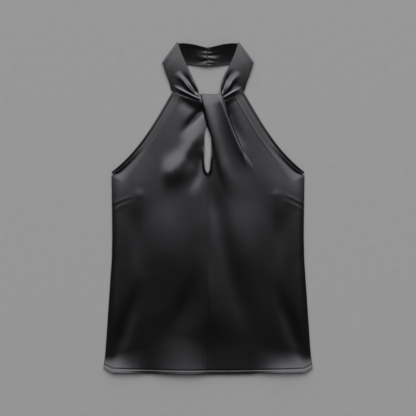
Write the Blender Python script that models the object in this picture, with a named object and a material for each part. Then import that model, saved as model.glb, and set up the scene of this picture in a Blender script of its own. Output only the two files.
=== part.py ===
"""Halter neck top in black satin, laid flat on a table with its front upward.

The pieces are those that a maker cuts and sews: a back, two fronts that cross in a twisted
knot at the neck, a collar in two halves that folds over at the sides of the neck, two
armhole bindings, and two covered buttons with their loops at the centre back.

Sizes are in millimetres and go into the meshes in metres. +X is the wearer's left, +Y points
to the neck and +Z up from the table, which is z = 0.
"""
import math
from collections import namedtuple

import bmesh
import bpy
import numpy as np

MM = 0.001

# Driving sizes of the garment, laid flat (mm)
HEM_Y = -365.0
UNDERARM_Y = 72.0
BACK_TOP_CENTRE_Y = 36.0
BACK_TOP_SIDE_Y = 72.0
CLOTH = 1.2
STRAP = 2.0
HEM_TURN = 8.0
HEM_THICK = 1.8
SEAM_GAP = 0.3

# The hem line: a slow curve, a quick turn up at each side seam, and how far up both die away
HEM_LIFT = 4.3
HEM_LIFT_HALF = 214.0
HEM_CORNER = 8.0
HEM_CORNER_FROM = 212.0
HEM_CORNER_REACH = 16.0
HEM_BLEND = 60.0

# The armhole bindings, with their section as pairs of inset and height
BINDING_WIDTH = 6.2
BINDING_THICK = 2.2
BINDING_END = 0.985
BINDING_PROFILE = [(0.0, 0.9), (1.0, 1.7), (3.0, BINDING_THICK), (5.0, BINDING_THICK),
                   (BINDING_WIDTH, 2.0)]

# How the fronts stand: their loft and edges, the hem's layers, and the floor of each part
LOFT = 3.4
EDGE_ROLL = 24.0
SIDE_EDGE_HEIGHT = 2.8
ARMHOLE_EDGE_HEIGHT = 2.4
HEM_LAYERS = 1.4
HEM_LAYERS_REACH = 40.0
HEM_LOFT_SHARE = 0.4
FREE_FLOOR = 0.5
FLOOR_MARGIN = 12.0
SEAM_SLOPE_ROWS = 13.0
CENTRE_CURL = 1.0
CENTRE_CURL_WIDTH = 6.0
SLIT_TOP_Y = 185.0

Width = namedtuple("Width", "name y half")
SIDE_WIDTHS = [
    Width("hem", -365.0, 229.0),
    Width("hip", -114.0, 211.9),
    Width("waist", -61.0, 210.8),
    Width("dart", 0.0, 211.4),
    Width("underarm", 72.0, 212.4),
]

# The armhole is one cubic curve: underarm, its handle, the neck handle, the neck point
ARMHOLE = np.array([[212.6, 79.6], [152.3, 124.6], [115.0, 193.9], [77.6, 258.4]])

# The body below the underarm is cut at level sections, from the hem up
BODY_LEVELS = [HEM_Y, HEM_Y + HEM_TURN, -330.0, -285.0, -235.0, -180.0, -120.0, -60.0, -5.0, 35.0,
               UNDERARM_Y - 1.0]

# The yoke: where each section starts on the armhole (0 underarm, 1 neck point), where it
# crosses the crest of the front's largest fold, and where it ends at the centre edge
Section = namedtuple("Section", "name arm crest_x crest_y centre_x centre_y")
RIGHT_YOKE = [
    Section("underarm", 0.06, -95.0, 84.0, -0.2, 76.5),
    Section("slit foot", 0.20, -88.0, 99.0, -1.4, 82.0),
    Section("slit low", 0.38, -77.0, 115.0, -5.6, 102.0),
    Section("slit middle", 0.55, -62.0, 135.0, -7.8, 130.0),
    Section("slit high", 0.68, -47.0, 157.0, -8.2, 155.0),
    Section("slit top", 0.80, -31.0, 182.0, -5.6, 176.0),
    Section("under band", 0.90, -17.0, 205.0, 0.0, 195.0),
    Section("collar seam", 1.00, -8.0, 229.6, 4.0, 219.0),
]
LEFT_YOKE = [
    Section("underarm", 0.06, 101.0, 80.0, 0.2, 76.5),
    Section("slit foot", 0.20, 97.0, 93.0, 1.2, 82.0),
    Section("slit low", 0.38, 91.0, 110.0, 5.2, 104.0),
    Section("slit middle", 0.55, 82.0, 128.0, 7.7, 136.0),
    Section("slit high", 0.68, 71.0, 152.0, 6.2, 158.0),
    Section("slit top", 0.80, 59.0, 176.0, -1.0, 177.0),
    Section("band foot", 0.90, 47.0, 202.0, -6.0, 198.0),
    Section("collar seam", 1.00, 34.3, 232.0, -11.0, 221.0),
]

# The seam that joins each collar half to its front, from the neck point to the knot
COLLAR_SEAM = {
    -1: np.array([[78.8, 258.9], [8.0, 229.6]]),
    1: np.array([[78.8, 258.9], [34.5, 232.3]]),
}
NECK_CORNER = 8.2
SEAM_HEIGHT_NECK = 3.2
SEAM_HEIGHT_KNOT = 7.2

# The crossing band of the left front
BAND_TOP_LEFT = (-16.9, 244.0)
BAND_TOP_RIGHT = (27.6, 245.8)
BAND_LIFT = 6.6
BAND_LIFT_FROM = 96.0
BAND_LIFT_TO = 212.0
BAND_FOOT = (3.0, 2.0)
BAND_EDGE_DROP = 2.6
BAND_EDGE_WIDTH = 7.0
BAND_FOLD_SHARE = 0.4
BAND_FOLD_WIDTH = 5.0
BAND_CLIMB = (0.4, 0.8)
ROLL_RADIUS = 6.4
RETURN_LENGTH = 12.0

# Folds of the fronts: a curve from start by via to end, its half-width at both ends, and
# its height, which is negative for a trough. A fold of one front leaves the other alone
Fold = namedtuple("Fold", "name panel x0 y0 x1 y1 x2 y2 wide0 wide1 height")
FOLDS = [
    Fold("long crest", -1, -14, 208, -48, 156, -96, 86, 5, 15, 3.4),
    Fold("crest shadow", -1, -16, 216, -48, 187, -64, 158, 5, 11, -1.8),
    Fold("bust hollow", -1, -50, 112, -66, 78, -82, 44, 15, 20, -1.6),
    Fold("slit trough right", -1, -16, 158, -17, 122, -15, 84, 7, 7, -1.3),
    Fold("tack ridge", -1, -7, 71, -26, 52, -50, 33, 6, 10, 1.4),
    Fold("bust fullness right", -1, -150, 58, -147, 47, -140, 34, 18, 18, 1.6),
    Fold("band crest", 1, 50, 194, 74, 146, 100, 86, 6, 14, 2.6),
    Fold("band stripe", 1, 26, 226, 40, 160, 62, 104, 6, 10, -1.5),
    Fold("band shadow", 1, 50, 214, 60, 196, 76, 168, 6, 10, -1.3),
    Fold("slit trough left", 1, 15, 134, 28, 44, 44, -70, 8, 12, -1.9),
    Fold("left sweep", 1, 40, -60, 62, -158, 92, -270, 12, 18, -1.8),
    Fold("bust fullness left", 1, 148, 58, 145, 47, 138, 34, 18, 18, 1.6),
    Fold("centre sweep", 0, 2, -60, 18, -185, 80, -318, 12, 18, 1.9),
    Fold("right sweep", -1, -6, -170, -34, -240, -78, -312, 12, 18, 1.8),
    Fold("right hollow", -1, -74, -140, -66, -190, -42, -212, 14, 16, -1.4),
    Fold("hem hollow", -1, -130, -240, -100, -270, -76, -286, 15, 18, -1.4),
    Fold("side ridge right", -1, -144, -170, -166, -250, -200, -318, 12, 16, 1.6),
    Fold("side ridge left", 1, 118, -132, 142, -216, 182, -306, 12, 16, 1.6),
    Fold("breast ridge right", -1, -92, 20, -82, -50, -76, -120, 18, 20, 1.2),
    Fold("breast ridge left", 1, 84, 16, 92, -30, 104, -84, 16, 18, 1.1),
]
FOLD_PIECES = 10

# The collar strap, half of it, from the centre back round the side fold to the front:
# the upper edge of the strap, which is nearest the wearer's chin, and its lower edge
Station = namedtuple("Station", "name upper_x upper_y lower_x lower_y")
JOIN_X = -1.1
JOIN_HALF_GAP = 0.9
COLLAR_BACK = [
    Station("join", 0.0, 352.7, 0.0, 313.5),
    Station("gathers", 7.0, 354.2, 8.0, 313.7),
    Station("gathers end", 15.0, 356.0, 17.0, 314.3),
    Station("middle back", 30.8, 359.8, 36.0, 316.0),
    Station("side back", 49.0, 362.4, 64.0, 318.0),
]
SIDE_FOLD = Station("side fold", 68.6, 365.0, 101.2, 321.6)
FOLD_RADIUS = 3.2
FOLD_STEPS = 6
COLLAR_FRONT = {
    -1: [
        Station("side front", 60.0, 344.0, 95.0, 304.0),
        Station("upper front", 50.5, 322.0, 88.6, 286.4),
        Station("middle front", 42.0, 303.5, 83.6, 272.0),
    ],
    1: [
        Station("side front", 61.0, 345.0, 95.0, 304.0),
        Station("upper front", 52.0, 323.5, 88.6, 286.4),
        Station("middle front", 43.0, 305.5, 83.6, 272.0),
    ],
}
# From the neck point on, the lower edge follows the collar seam: a share of that seam
Pleated = namedtuple("Pleated", "name upper_x upper_y seam_share")
COLLAR_PLEATED = {
    -1: [
        Pleated("neck point", 34.5, 287.5, 0.0),
        Pleated("pleats", 29.5, 276.5, 0.22),
        Pleated("pleats middle", 25.5, 267.5, 0.46),
        Pleated("pleats end", 22.2, 259.5, 0.70),
        Pleated("knot", 18.8, 250.0, 0.88),
        Pleated("tucked", 10.0, 243.5, 1.0),
    ],
    1: [
        Pleated("neck point", 35.0, 290.0, 0.0),
        Pleated("pleats", 31.4, 279.0, 0.28),
        Pleated("pleats middle", 29.4, 269.0, 0.52),
        Pleated("pleats end", 28.8, 259.0, 0.76),
        Pleated("knot", 28.9, 249.8, 0.96),
        Pleated("tucked", 18.0, 244.5, 1.32),
    ],
}
COLLAR_HEIGHT_KNOT = 8.4
COLLAR_CROWN = 0.8
PLEAT_RISE = 0.036
PLEAT_FIRST_RIDGE = 0.30
PLEAT_SPACING = 0.41
KNOT_STRAP = 1.4

# Gathers of the strap at the centre back, and the closure that lifts it off the table
GATHERS = 3
GATHER_HEIGHT = 1.2
GATHER_REACH = 34.0
CLOSURE_LIFT = 5.6
CLOSURE_FLAT = 10.0
CLOSURE_RAMP = 18.0
BUTTON_X = 4.4
BUTTON_YS = (342.0, 324.0)
BUTTON_RADIUS = 4.5
BUTTON_THICK = 3.4
SHANK_RADIUS = 1.1
LOOP_WIRE = 0.7
LOOP_RADIUS = 2.3
LOOP_LEG = 4.6

# How finely each piece is divided
FRONT_ROWS = 37
FRONT_SIDE_COLUMNS = 12
FRONT_CENTRE_COLUMNS = 10
COLLAR_ROWS_PER_STATION = 2
COLLAR_COLUMNS = 12
BINDING_SECTIONS = 22


def smoothstep(value):
    """0 below 0, 1 above 1, and an even S-shaped rise in between."""
    value = np.clip(value, 0.0, 1.0)
    return value * value * (3.0 - 2.0 * value)


def smooth_line(points, places):
    """Curve through a table's points, each one unit apart, read at the given places."""
    points = np.asarray(points, float)
    slopes = np.gradient(points, axis=0)
    start = np.clip(np.floor(places).astype(int), 0, len(points) - 2)
    part = (np.asarray(places) - start)[:, None]
    square, cube = part ** 2, part ** 3
    return ((2 * cube - 3 * square + 1) * points[start]
            + (cube - 2 * square + part) * slopes[start]
            + (3 * square - 2 * cube) * points[start + 1]
            + (cube - square) * slopes[start + 1])


def straight_line(points, places):
    """Straight runs through a table's points, each one unit apart, read at the given places."""
    points = np.asarray(points, float)
    marks = np.arange(len(points))
    return np.stack([np.interp(places, marks, column) for column in points.T], axis=1)


def half_width(y):
    """Half the body's width at a height above the hem."""
    return np.interp(y, [w.y for w in SIDE_WIDTHS], [w.half for w in SIDE_WIDTHS])


def armhole(share, inset=0.0):
    """Point on the armhole edge, moved in towards the cloth by the inset."""
    t = np.atleast_1d(np.asarray(share, float))[:, None]
    a, b, c, d = ARMHOLE
    point = (1 - t) ** 3 * a + 3 * (1 - t) ** 2 * t * b + 3 * (1 - t) * t ** 2 * c + t ** 3 * d
    run = (1 - t) ** 2 * (b - a) + 2 * (1 - t) * t * (c - b) + t ** 2 * (d - c)
    run /= np.linalg.norm(run, axis=1)[:, None]
    inward = np.stack([-run[:, 1], run[:, 0]], axis=1)
    return point + inward * inset


def hem_rise(x):
    """How far the hem lifts above its lowest point: a slow curve and a quick turn at each side."""
    x = np.abs(x)
    corner = np.clip((x - HEM_CORNER_FROM) / HEM_CORNER_REACH, 0.0, 1.0)
    return HEM_LIFT * (x / HEM_LIFT_HALF) ** 2 + HEM_CORNER * corner


def fold_height(x, y, panel):
    """Sum of the fold table's ridges and troughs at each point of one front."""
    total = np.zeros_like(x)
    for fold in FOLDS:
        if fold.panel == -panel:
            continue
        share = np.linspace(0.0, 1.0, FOLD_PIECES + 1)
        via_x = 2 * fold.x1 - (fold.x0 + fold.x2) / 2
        via_y = 2 * fold.y1 - (fold.y0 + fold.y2) / 2
        line_x = (1 - share) ** 2 * fold.x0 + 2 * share * (1 - share) * via_x + share ** 2 * fold.x2
        line_y = (1 - share) ** 2 * fold.y0 + 2 * share * (1 - share) * via_y + share ** 2 * fold.y2
        run_x, run_y = np.diff(line_x), np.diff(line_y)
        off_x = x[..., None] - line_x[:-1]
        off_y = y[..., None] - line_y[:-1]
        along = (off_x * run_x + off_y * run_y) / (run_x ** 2 + run_y ** 2)
        along = np.clip(along, 0.0, 1.0)
        away = np.hypot(off_x - along * run_x, off_y - along * run_y)
        nearest = np.argmin(away, axis=-1)[..., None]
        away = np.take_along_axis(away, nearest, -1)[..., 0]
        place = (nearest + np.take_along_axis(along, nearest, -1))[..., 0] / FOLD_PIECES
        wide = fold.wide0 + (fold.wide1 - fold.wide0) * place
        fade = smoothstep(place / 0.2) * smoothstep((1.0 - place) / 0.35)
        total += fold.height * fade * np.exp(-(away / wide) ** 2)
    return total


def seam_point(panel, share):
    """Point on the collar seam of one side: 0 at the neck point, 1 at the knot."""
    start, end = COLLAR_SEAM[panel]
    point = start + np.asarray(share, float)[..., None] * (end - start)
    return point * (panel, 1)


def seam_height(share):
    """Height of the collar seam's outer face above the table."""
    return SEAM_HEIGHT_NECK + (SEAM_HEIGHT_KNOT - SEAM_HEIGHT_NECK) * np.clip(share, 0.0, 1.0)


def back_top(x):
    """Upper edge of the back, a shallow scoop from underarm to underarm."""
    return BACK_TOP_CENTRE_Y + (BACK_TOP_SIDE_Y - BACK_TOP_CENTRE_Y) * (np.abs(x) / 211.0) ** 2.5


def satin(name, base=(0.012, 0.012, 0.013), roughness=0.32):
    """Principled material of one piece."""
    material = bpy.data.materials.new(name)
    material.use_nodes = True
    shader = material.node_tree.nodes["Principled BSDF"]
    shader.inputs["Base Color"].default_value = (*base, 1.0)
    shader.inputs["Roughness"].default_value = roughness
    shader.inputs["Metallic"].default_value = 0.0
    return material


def add_object(name, data):
    """Put a mesh or curve into the scene under the garment's empty, with its own material."""
    piece = bpy.data.objects.new(name, data)
    bpy.context.collection.objects.link(piece)
    piece.parent = garment
    data.materials.append(satin(name + "_satin"))
    return piece


def cloth(name, face, thickness, lowest, cells=None):
    """Closed wall of cloth behind a grid of outer points.

    Each inner point lies one thickness behind its outer point, against the surface's normal
    there, and not below the height in lowest. Cells says which squares of the grid are cloth.
    """
    rows, columns = face.shape[:2]
    thickness = np.broadcast_to(thickness, (rows, columns))
    lowest = np.broadcast_to(lowest, (rows, columns))
    bm = bmesh.new()
    outer = [[bm.verts.new(face[r, c] * MM) for c in range(columns)] for r in range(rows)]
    for r in range(rows - 1):
        for c in range(columns - 1):
            if cells is None or cells[r, c]:
                bm.faces.new((outer[r][c], outer[r][c + 1], outer[r + 1][c + 1], outer[r + 1][c]))
    bm.normal_update()
    rim = [edge for edge in bm.edges if edge.is_boundary]
    squares = list(bm.faces)
    inner = {}
    for r in range(rows):
        for c in range(columns):
            vertex = outer[r][c]
            if not vertex.link_faces:
                continue
            point = vertex.co - vertex.normal * thickness[r, c] * MM
            point.z = max(point.z, lowest[r, c] * MM)
            inner[vertex] = bm.verts.new(point)
    for square in squares:
        bm.faces.new([inner[v] for v in reversed(square.verts)])
    for edge in rim:
        first, second = edge.verts
        bm.faces.new((first, second, inner[second], inner[first]))
    bmesh.ops.delete(bm, geom=[v for v in bm.verts if not v.link_faces], context="VERTS")
    bmesh.ops.recalc_face_normals(bm, faces=bm.faces)
    mesh = bpy.data.meshes.new(name)
    bm.to_mesh(mesh)
    bm.free()
    mesh.shade_smooth()
    mesh.set_sharp_from_angle(angle=math.radians(50))
    return add_object(name, mesh)


def back_panel():
    """The back: flat on the table, with its hem turned up inside."""
    across = np.linspace(-1.0, 1.0, 17)
    levels = np.array([HEM_Y, HEM_Y + HEM_TURN] + BODY_LEVELS[2:])
    share = (levels - HEM_Y) / (levels[-1] - HEM_Y)
    x = half_width(HEM_Y + share[:, None] * (BACK_TOP_SIDE_Y - HEM_Y)) * across
    top = back_top(x)
    y = HEM_Y + share[:, None] * (top - HEM_Y)
    y += hem_rise(x) * (1.0 - smoothstep((y - HEM_Y) / HEM_BLEND))
    upper = np.where(share[:, None] * (top - HEM_Y) < HEM_TURN - 1.0, HEM_THICK, CLOTH)
    face = np.stack([x, y, np.zeros_like(x)], axis=-1)
    return cloth("back_panel", face[:, ::-1], upper, 0.0)


def front_guides(panel, yoke, rows):
    """Side edge, fold crest and centre edge of one front, from the hem to the collar seam."""
    levels = np.array(BODY_LEVELS)
    places = np.linspace(0.0, len(levels) + len(yoke) - 1.0, rows)
    arms = smooth_line([[0.0]] * len(levels) + [[s.arm] for s in yoke], places)[:, 0]
    level = smooth_line([[y] for y in levels], np.minimum(places, len(levels) - 1.0))[:, 0]
    edge = armhole(arms, BINDING_WIDTH + SEAM_GAP)
    side = np.stack([half_width(level), level], axis=1)
    side = np.where((arms > 0.0)[:, None], edge, side) * (panel, 1)
    start, end = COLLAR_SEAM[panel]
    side[-1] = seam_point(panel, NECK_CORNER / np.linalg.norm(end - start))
    crest_foot = yoke[0].crest_x
    crest = np.vstack([[(crest_foot, y) for y in levels], [(s.crest_x, s.crest_y) for s in yoke]])
    centre_x = panel * SEAM_GAP / 2
    centre = np.vstack([[(centre_x, y) for y in levels], [(s.centre_x, s.centre_y) for s in yoke]])
    return side, smooth_line(crest, places), smooth_line(centre, places)


def front_grid(panel, yoke, rows):
    """Flat grid of one front: straight runs from the side to the crest and on to the centre.

    On the left front the run from the side stops at the foot of the band, a step short of
    the crest, so that the band stands up from the cloth below it.
    """
    side, crest, centre = front_guides(panel, yoke, rows)
    share = np.linspace(0.0, 1.0, FRONT_SIDE_COLUMNS + 1)[:, None]
    inward = np.linspace(0.0, 1.0, FRONT_CENTRE_COLUMNS + 1)[:, None]
    side, crest, centre = side[:, None], crest[:, None], centre[:, None]
    if panel > 0:
        foot = crest + BAND_FOOT
        flat = np.concatenate([side + share * (foot - side), crest + inward * (centre - crest)], 1)
    else:
        flat = np.concatenate([side + share * (crest - side), crest + inward[1:] * (centre - crest)], 1)
    flat[..., 1] += hem_rise(flat[..., 0]) * (1.0 - smoothstep((flat[..., 1] - HEM_Y) / HEM_BLEND))
    return flat


def front_height(flat, panel):
    """Height of a front's outer face: a low loft that rolls down to the edges, and the folds."""
    x, y = flat[..., 0], flat[..., 1]
    from_side = np.linalg.norm(flat - flat[:, :1], axis=-1)
    rise = 1.0 - (1.0 - np.clip(from_side / EDGE_ROLL, 0.0, 1.0)) ** 2
    edge = np.where(y < UNDERARM_Y, SIDE_EDGE_HEIGHT, ARMHOLE_EDGE_HEIGHT)
    hem = 1.0 - smoothstep((y - HEM_Y - HEM_TURN) / HEM_LAYERS_REACH)
    z = edge + HEM_LAYERS * hem + LOFT * rise * (1.0 - (1.0 - HEM_LOFT_SHARE) * hem)
    seam = np.linspace(0.0, 1.0, flat.shape[1])
    rows_below_seam = (flat.shape[0] - 1.0 - np.arange(flat.shape[0]))[:, None]
    z += (seam_height(seam) - z) * smoothstep(1.0 - rows_below_seam / SEAM_SLOPE_ROWS)
    z += fold_height(x, y, panel) * rise * smoothstep(rows_below_seam / 3.0)
    from_centre = np.abs(x - flat[:, -1:, 0])
    return z - CENTRE_CURL * np.exp(-(from_centre / CENTRE_CURL_WIDTH) ** 2) * (y < SLIT_TOP_Y)


def front_right():
    """The wearer's right front: gathered into the knot, its end hidden under the band."""
    flat = front_grid(-1, RIGHT_YOKE, FRONT_ROWS)
    z = front_height(flat, -1)
    face = np.dstack([flat, z])
    return cloth("front_right", face, front_thickness(flat), front_lowest(flat))


def front_thickness(flat):
    """Wall of a front, doubled along the turned hem."""
    return np.where(flat[..., 1] - hem_rise(flat[..., 0]) < HEM_Y + HEM_TURN - 1.0, HEM_THICK, CLOTH)


def front_lowest(flat):
    """The least height of a front's inner face: just above the back, or above the table."""
    x, y = flat[..., 0], flat[..., 1]
    over_hem = y - hem_rise(x) < HEM_Y + HEM_TURN + FLOOR_MARGIN
    over_back = y < back_top(x) + FLOOR_MARGIN
    above_back = np.where(over_back, CLOTH + SEAM_GAP, FREE_FLOOR)
    return np.where(over_hem, HEM_THICK + SEAM_GAP, above_back)


def front_left():
    """The wearer's left front, whose upper part crosses the knot as a band and rolls over it."""
    flat = front_grid(1, LEFT_YOKE, FRONT_ROWS)
    z = front_height(flat, 1)
    crest = FRONT_SIDE_COLUMNS + 1
    band = flat[:, crest:]
    lift = BAND_LIFT * smoothstep((band[..., 1] - BAND_LIFT_FROM) / (BAND_LIFT_TO - BAND_LIFT_FROM))
    z[:, crest:] += lift
    z[:, crest:] -= lift / BAND_LIFT * band_edge_drop(band)

    left = np.array(BAND_TOP_LEFT)
    right = np.array(BAND_TOP_RIGHT)
    across = np.linspace(0.0, 1.0, FRONT_CENTRE_COLUMNS + 1)[:, None]
    top_line = right + across * (left - right)
    climb = [band[-1] + share * (top_line - band[-1]) for share in BAND_CLIMB]
    climb_height = [z[-1, crest:] + share * (2 * ROLL_RADIUS - z[-1, crest:]) for share in BAND_CLIMB]
    extra = [np.column_stack([xy, height]) for xy, height in zip(climb, climb_height)]
    for angle in np.radians(np.linspace(90.0, -90.0, 8)):
        roll = top_line + (0.0, ROLL_RADIUS * math.cos(angle))
        height = np.full(len(roll), ROLL_RADIUS * (1.0 + math.sin(angle)))
        extra.append(np.column_stack([roll, height]))
    back = top_line - (0.0, RETURN_LENGTH)
    extra.append(np.column_stack([back, np.zeros(len(back))]))

    rows, columns = z.shape
    total = rows + len(extra)
    face = np.zeros((total, columns, 3))
    face[:rows] = np.dstack([flat, z])
    for number, line in enumerate(extra):
        face[rows + number, crest:] = line
    cells = np.ones((total - 1, columns - 1), bool)
    cells[rows - 1:, :crest] = False
    thickness = np.full((total, columns), CLOTH)
    thickness[:rows] = front_thickness(flat)
    lowest = np.zeros((total, columns))
    lowest[:rows] = front_lowest(flat)
    return cloth("front_left", face[:, ::-1], thickness[:, ::-1], lowest[:, ::-1], cells[:, ::-1])


def band_edge_drop(band):
    """How far the band's two long edges curl down."""
    to_left = np.linalg.norm(band - band[:, -1:], axis=-1)
    to_right = np.linalg.norm(band - band[:, :1], axis=-1)
    curl = 1.0 - smoothstep(to_left / BAND_EDGE_WIDTH)
    curl += BAND_FOLD_SHARE * (1.0 - smoothstep(to_right / BAND_FOLD_WIDTH))
    return BAND_EDGE_DROP * curl


def collar_lines(panel):
    """Upper and lower edge of one collar half with their heights, station by station."""
    normal = np.array([SIDE_FOLD.upper_y - SIDE_FOLD.lower_y, SIDE_FOLD.lower_x - SIDE_FOLD.upper_x])
    normal = normal / np.linalg.norm(normal)
    join = np.array([abs(JOIN_X + panel * JOIN_HALF_GAP), 0.0])
    if panel * JOIN_X > 0:
        join_shift = join[0]
    else:
        join_shift = -join[0]
    upper, lower = [], []
    for station in COLLAR_BACK:
        near_join = 1.0 - smoothstep(station.upper_x / 30.0)
        upper.append((station.upper_x + join_shift * near_join, station.upper_y, 0.0))
        lower.append((station.lower_x + join_shift * near_join, station.lower_y, 0.0))
    for angle in np.radians(np.linspace(-90.0, 90.0, FOLD_STEPS + 1)):
        out = FOLD_RADIUS * (math.cos(angle) - 1.0)
        height = FOLD_RADIUS * (1.0 + math.sin(angle))
        upper.append((SIDE_FOLD.upper_x + out * normal[0], SIDE_FOLD.upper_y + out * normal[1], height))
        lower.append((SIDE_FOLD.lower_x + out * normal[0], SIDE_FOLD.lower_y + out * normal[1], height))
    top = 2 * FOLD_RADIUS
    fall = np.linspace(1.0, 0.0, len(COLLAR_FRONT[panel]) + 2)[1:]
    for station, share in zip(COLLAR_FRONT[panel], fall):
        upper.append((station.upper_x, station.upper_y, top))
        height = SEAM_HEIGHT_NECK + share * (top - SEAM_HEIGHT_NECK)
        lower.append((station.lower_x, station.lower_y, height))
    start, end = COLLAR_SEAM[panel]
    up = np.array([start[1] - end[1], end[0] - start[0]])
    up = -up / np.linalg.norm(up) * SEAM_GAP
    for station in COLLAR_PLEATED[panel]:
        share = station.seam_share
        height = top + (COLLAR_HEIGHT_KNOT - top) * min(share, 1.0)
        upper.append((station.upper_x, station.upper_y, height))
        x, y = start + share * (end - start) + up
        lower.append((x, y, float(seam_height(share))))
    return np.array(upper), np.array(lower)


def collar_half(name, panel):
    """One half of the doubled strap: back stretch, side fold, and front stretch in pleats."""
    upper, lower = collar_lines(panel)
    back = len(COLLAR_BACK)
    fold_end = back + FOLD_STEPS
    last = len(upper) - 1
    places = np.concatenate([
        np.linspace(0.0, back - 1.0, COLLAR_ROWS_PER_STATION * back + 1),
        np.arange(back, fold_end + 1),
        np.linspace(fold_end, last, COLLAR_ROWS_PER_STATION * (last - fold_end) + 1)[1:],
    ])
    upper = straight_line(upper, places)[:, None]
    lower = straight_line(lower, places)[:, None]
    width = np.linspace(0.0, 1.0, COLLAR_COLUMNS + 1)[:, None]
    face = upper + width * (lower - upper)
    x, y = face[..., 0], face[..., 1]
    on_back = (places < back - 0.5)[:, None]
    at_closure = 1.0 - smoothstep((x - CLOSURE_FLAT) / CLOSURE_RAMP)
    face[..., 2] = np.where(on_back, CLOSURE_LIFT * at_closure, face[..., 2])
    on_front = smoothstep((places - fold_end) / 1.5)[:, None]
    on_pleats = smoothstep((places - fold_end - 1.0) / 3.0)[:, None]
    to_knot = smoothstep((places - fold_end - 1.0) / (last - fold_end - 1.0))[:, None]
    across = width[:, 0]
    crown = COLLAR_CROWN * np.sin(np.pi * across)
    wave = np.cos(2 * np.pi * (across - PLEAT_FIRST_RIDGE) / PLEAT_SPACING) * np.sin(np.pi * across)
    pleats = PLEAT_RISE * np.linalg.norm(lower - upper, axis=-1) * wave
    face[..., 2] += on_front * crown + on_pleats * pleats
    gathers = 0.5 - 0.5 * np.cos(2 * np.pi * GATHERS * across)
    front_wall = STRAP + (KNOT_STRAP - STRAP) * to_knot
    gathered = GATHER_HEIGHT * gathers * (1.0 - smoothstep(x / GATHER_REACH)) * on_back
    face[..., 0] *= panel
    thickness = front_wall + gathered
    if panel > 0:
        face, thickness = face[:, ::-1], thickness[:, ::-1]
    return cloth(name, face, thickness, 0.0)


def armhole_binding(name, panel):
    """Narrow folded strip that closes the armhole edge, rounded over and flat beneath."""
    share = np.linspace(0.0, BINDING_END, BINDING_SECTIONS)
    columns = [np.column_stack([armhole(share, inset), np.full(len(share), z)])
               for inset, z in BINDING_PROFILE]
    face = np.stack(columns, axis=1)
    face[..., 0] *= panel
    if panel > 0:
        face = face[:, ::-1]
    bm = bmesh.new()
    rows, count = face.shape[:2]
    top = [[bm.verts.new(face[r, c] * MM) for c in range(count)] for r in range(rows)]
    base = [[bm.verts.new((*(face[r, c, :2] * MM), 0.0)) for c in (0, count - 1)] for r in range(rows)]
    rings = [row + [ends[1], ends[0]] for row, ends in zip(top, base)]
    for low, high in zip(rings, rings[1:]):
        for c in range(len(low)):
            n = (c + 1) % len(low)
            bm.faces.new((low[c], low[n], high[n], high[c]))
    bm.faces.new(rings[0])
    bm.faces.new(rings[-1])
    bmesh.ops.recalc_face_normals(bm, faces=bm.faces)
    mesh = bpy.data.meshes.new(name)
    bm.to_mesh(mesh)
    bm.free()
    return add_object(name, mesh)


def covered_button(name, y):
    """Cloth-covered button, dome down on the table, with its shank up to the collar."""
    profile = [
        (0.0, 0.0), (2.4, 0.0), (3.8, 0.6), (BUTTON_RADIUS, 1.7), (3.9, 2.8),
        (2.6, BUTTON_THICK), (SHANK_RADIUS, BUTTON_THICK), (SHANK_RADIUS, CLOSURE_LIFT - SEAM_GAP),
        (0.0, CLOSURE_LIFT - SEAM_GAP),
    ]
    bm = bmesh.new()
    verts = [bm.verts.new((r * MM, 0.0, z * MM)) for r, z in profile]
    edges = [bm.edges.new(pair) for pair in zip(verts, verts[1:])]
    bmesh.ops.spin(bm, geom=verts + edges, cent=(0, 0, 0), axis=(0, 0, 1), angle=2 * math.pi,
                   steps=16, use_merge=True)
    bmesh.ops.remove_doubles(bm, verts=bm.verts, dist=1e-6)
    bmesh.ops.recalc_face_normals(bm, faces=bm.faces)
    mesh = bpy.data.meshes.new(name)
    bm.to_mesh(mesh)
    bm.free()
    mesh.set_sharp_from_angle(angle=math.radians(40))
    piece = add_object(name, mesh)
    piece.location = (BUTTON_X * MM, y * MM, 0.0)
    return piece


def button_loop(name, y):
    """Rouleau loop, sewn under the right half's end and taken round the shank of a button."""
    bow = [(BUTTON_X + LOOP_RADIUS * math.cos(angle), LOOP_RADIUS * math.sin(angle))
           for angle in np.radians(np.linspace(90.0, -90.0, 9))]
    legs_x = JOIN_X - LOOP_LEG
    points = [(legs_x, LOOP_RADIUS), *bow, (legs_x, -LOOP_RADIUS)]
    curve = bpy.data.curves.new(name, "CURVE")
    curve.dimensions = "3D"
    curve.bevel_depth = LOOP_WIRE * MM
    curve.bevel_resolution = 1
    curve.use_fill_caps = True
    spline = curve.splines.new("POLY")
    spline.points.add(len(points) - 1)
    for point, (px, py) in zip(spline.points, points):
        point.co = (px * MM, py * MM, 0.0, 1.0)
    piece = add_object(name, curve)
    piece.location = (0.0, y * MM, (CLOSURE_LIFT - SEAM_GAP - LOOP_WIRE) * MM)
    return piece


for old in list(bpy.data.objects):
    bpy.data.objects.remove(old, do_unlink=True)
garment = bpy.data.objects.new("halter_top", None)
bpy.context.collection.objects.link(garment)

back_panel()
front_right()
front_left()
collar_half("collar_right", -1)
collar_half("collar_left", 1)
armhole_binding("armhole_binding_right", -1)
armhole_binding("armhole_binding_left", 1)
for number, button_y in enumerate(BUTTON_YS, start=1):
    covered_button(f"button_{number}", button_y)
    button_loop(f"button_loop_{number}", button_y)
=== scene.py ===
# %% [markdown]
# # A halter neck top in black satin, laid flat
#
# The top is a small set of cloth pieces: a back, two fronts that cross in a twisted knot, a
# collar in two halves that folds over at the sides of the neck, bound armholes, and two covered
# buttons behind the neck. Black satin shows almost no colour of its own. What the eye reads is
# the reflection of the lamps on its folds, so this lesson spends its effort on the shape of the
# cloth, on a finish with the right gloss, and on large soft lamps.
#
# The frame holds the plain solids of the same pieces. Each solid is replaced here by a fine
# shell that follows the same edges.

# %% Load the frame
import math
from collections import namedtuple

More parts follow.
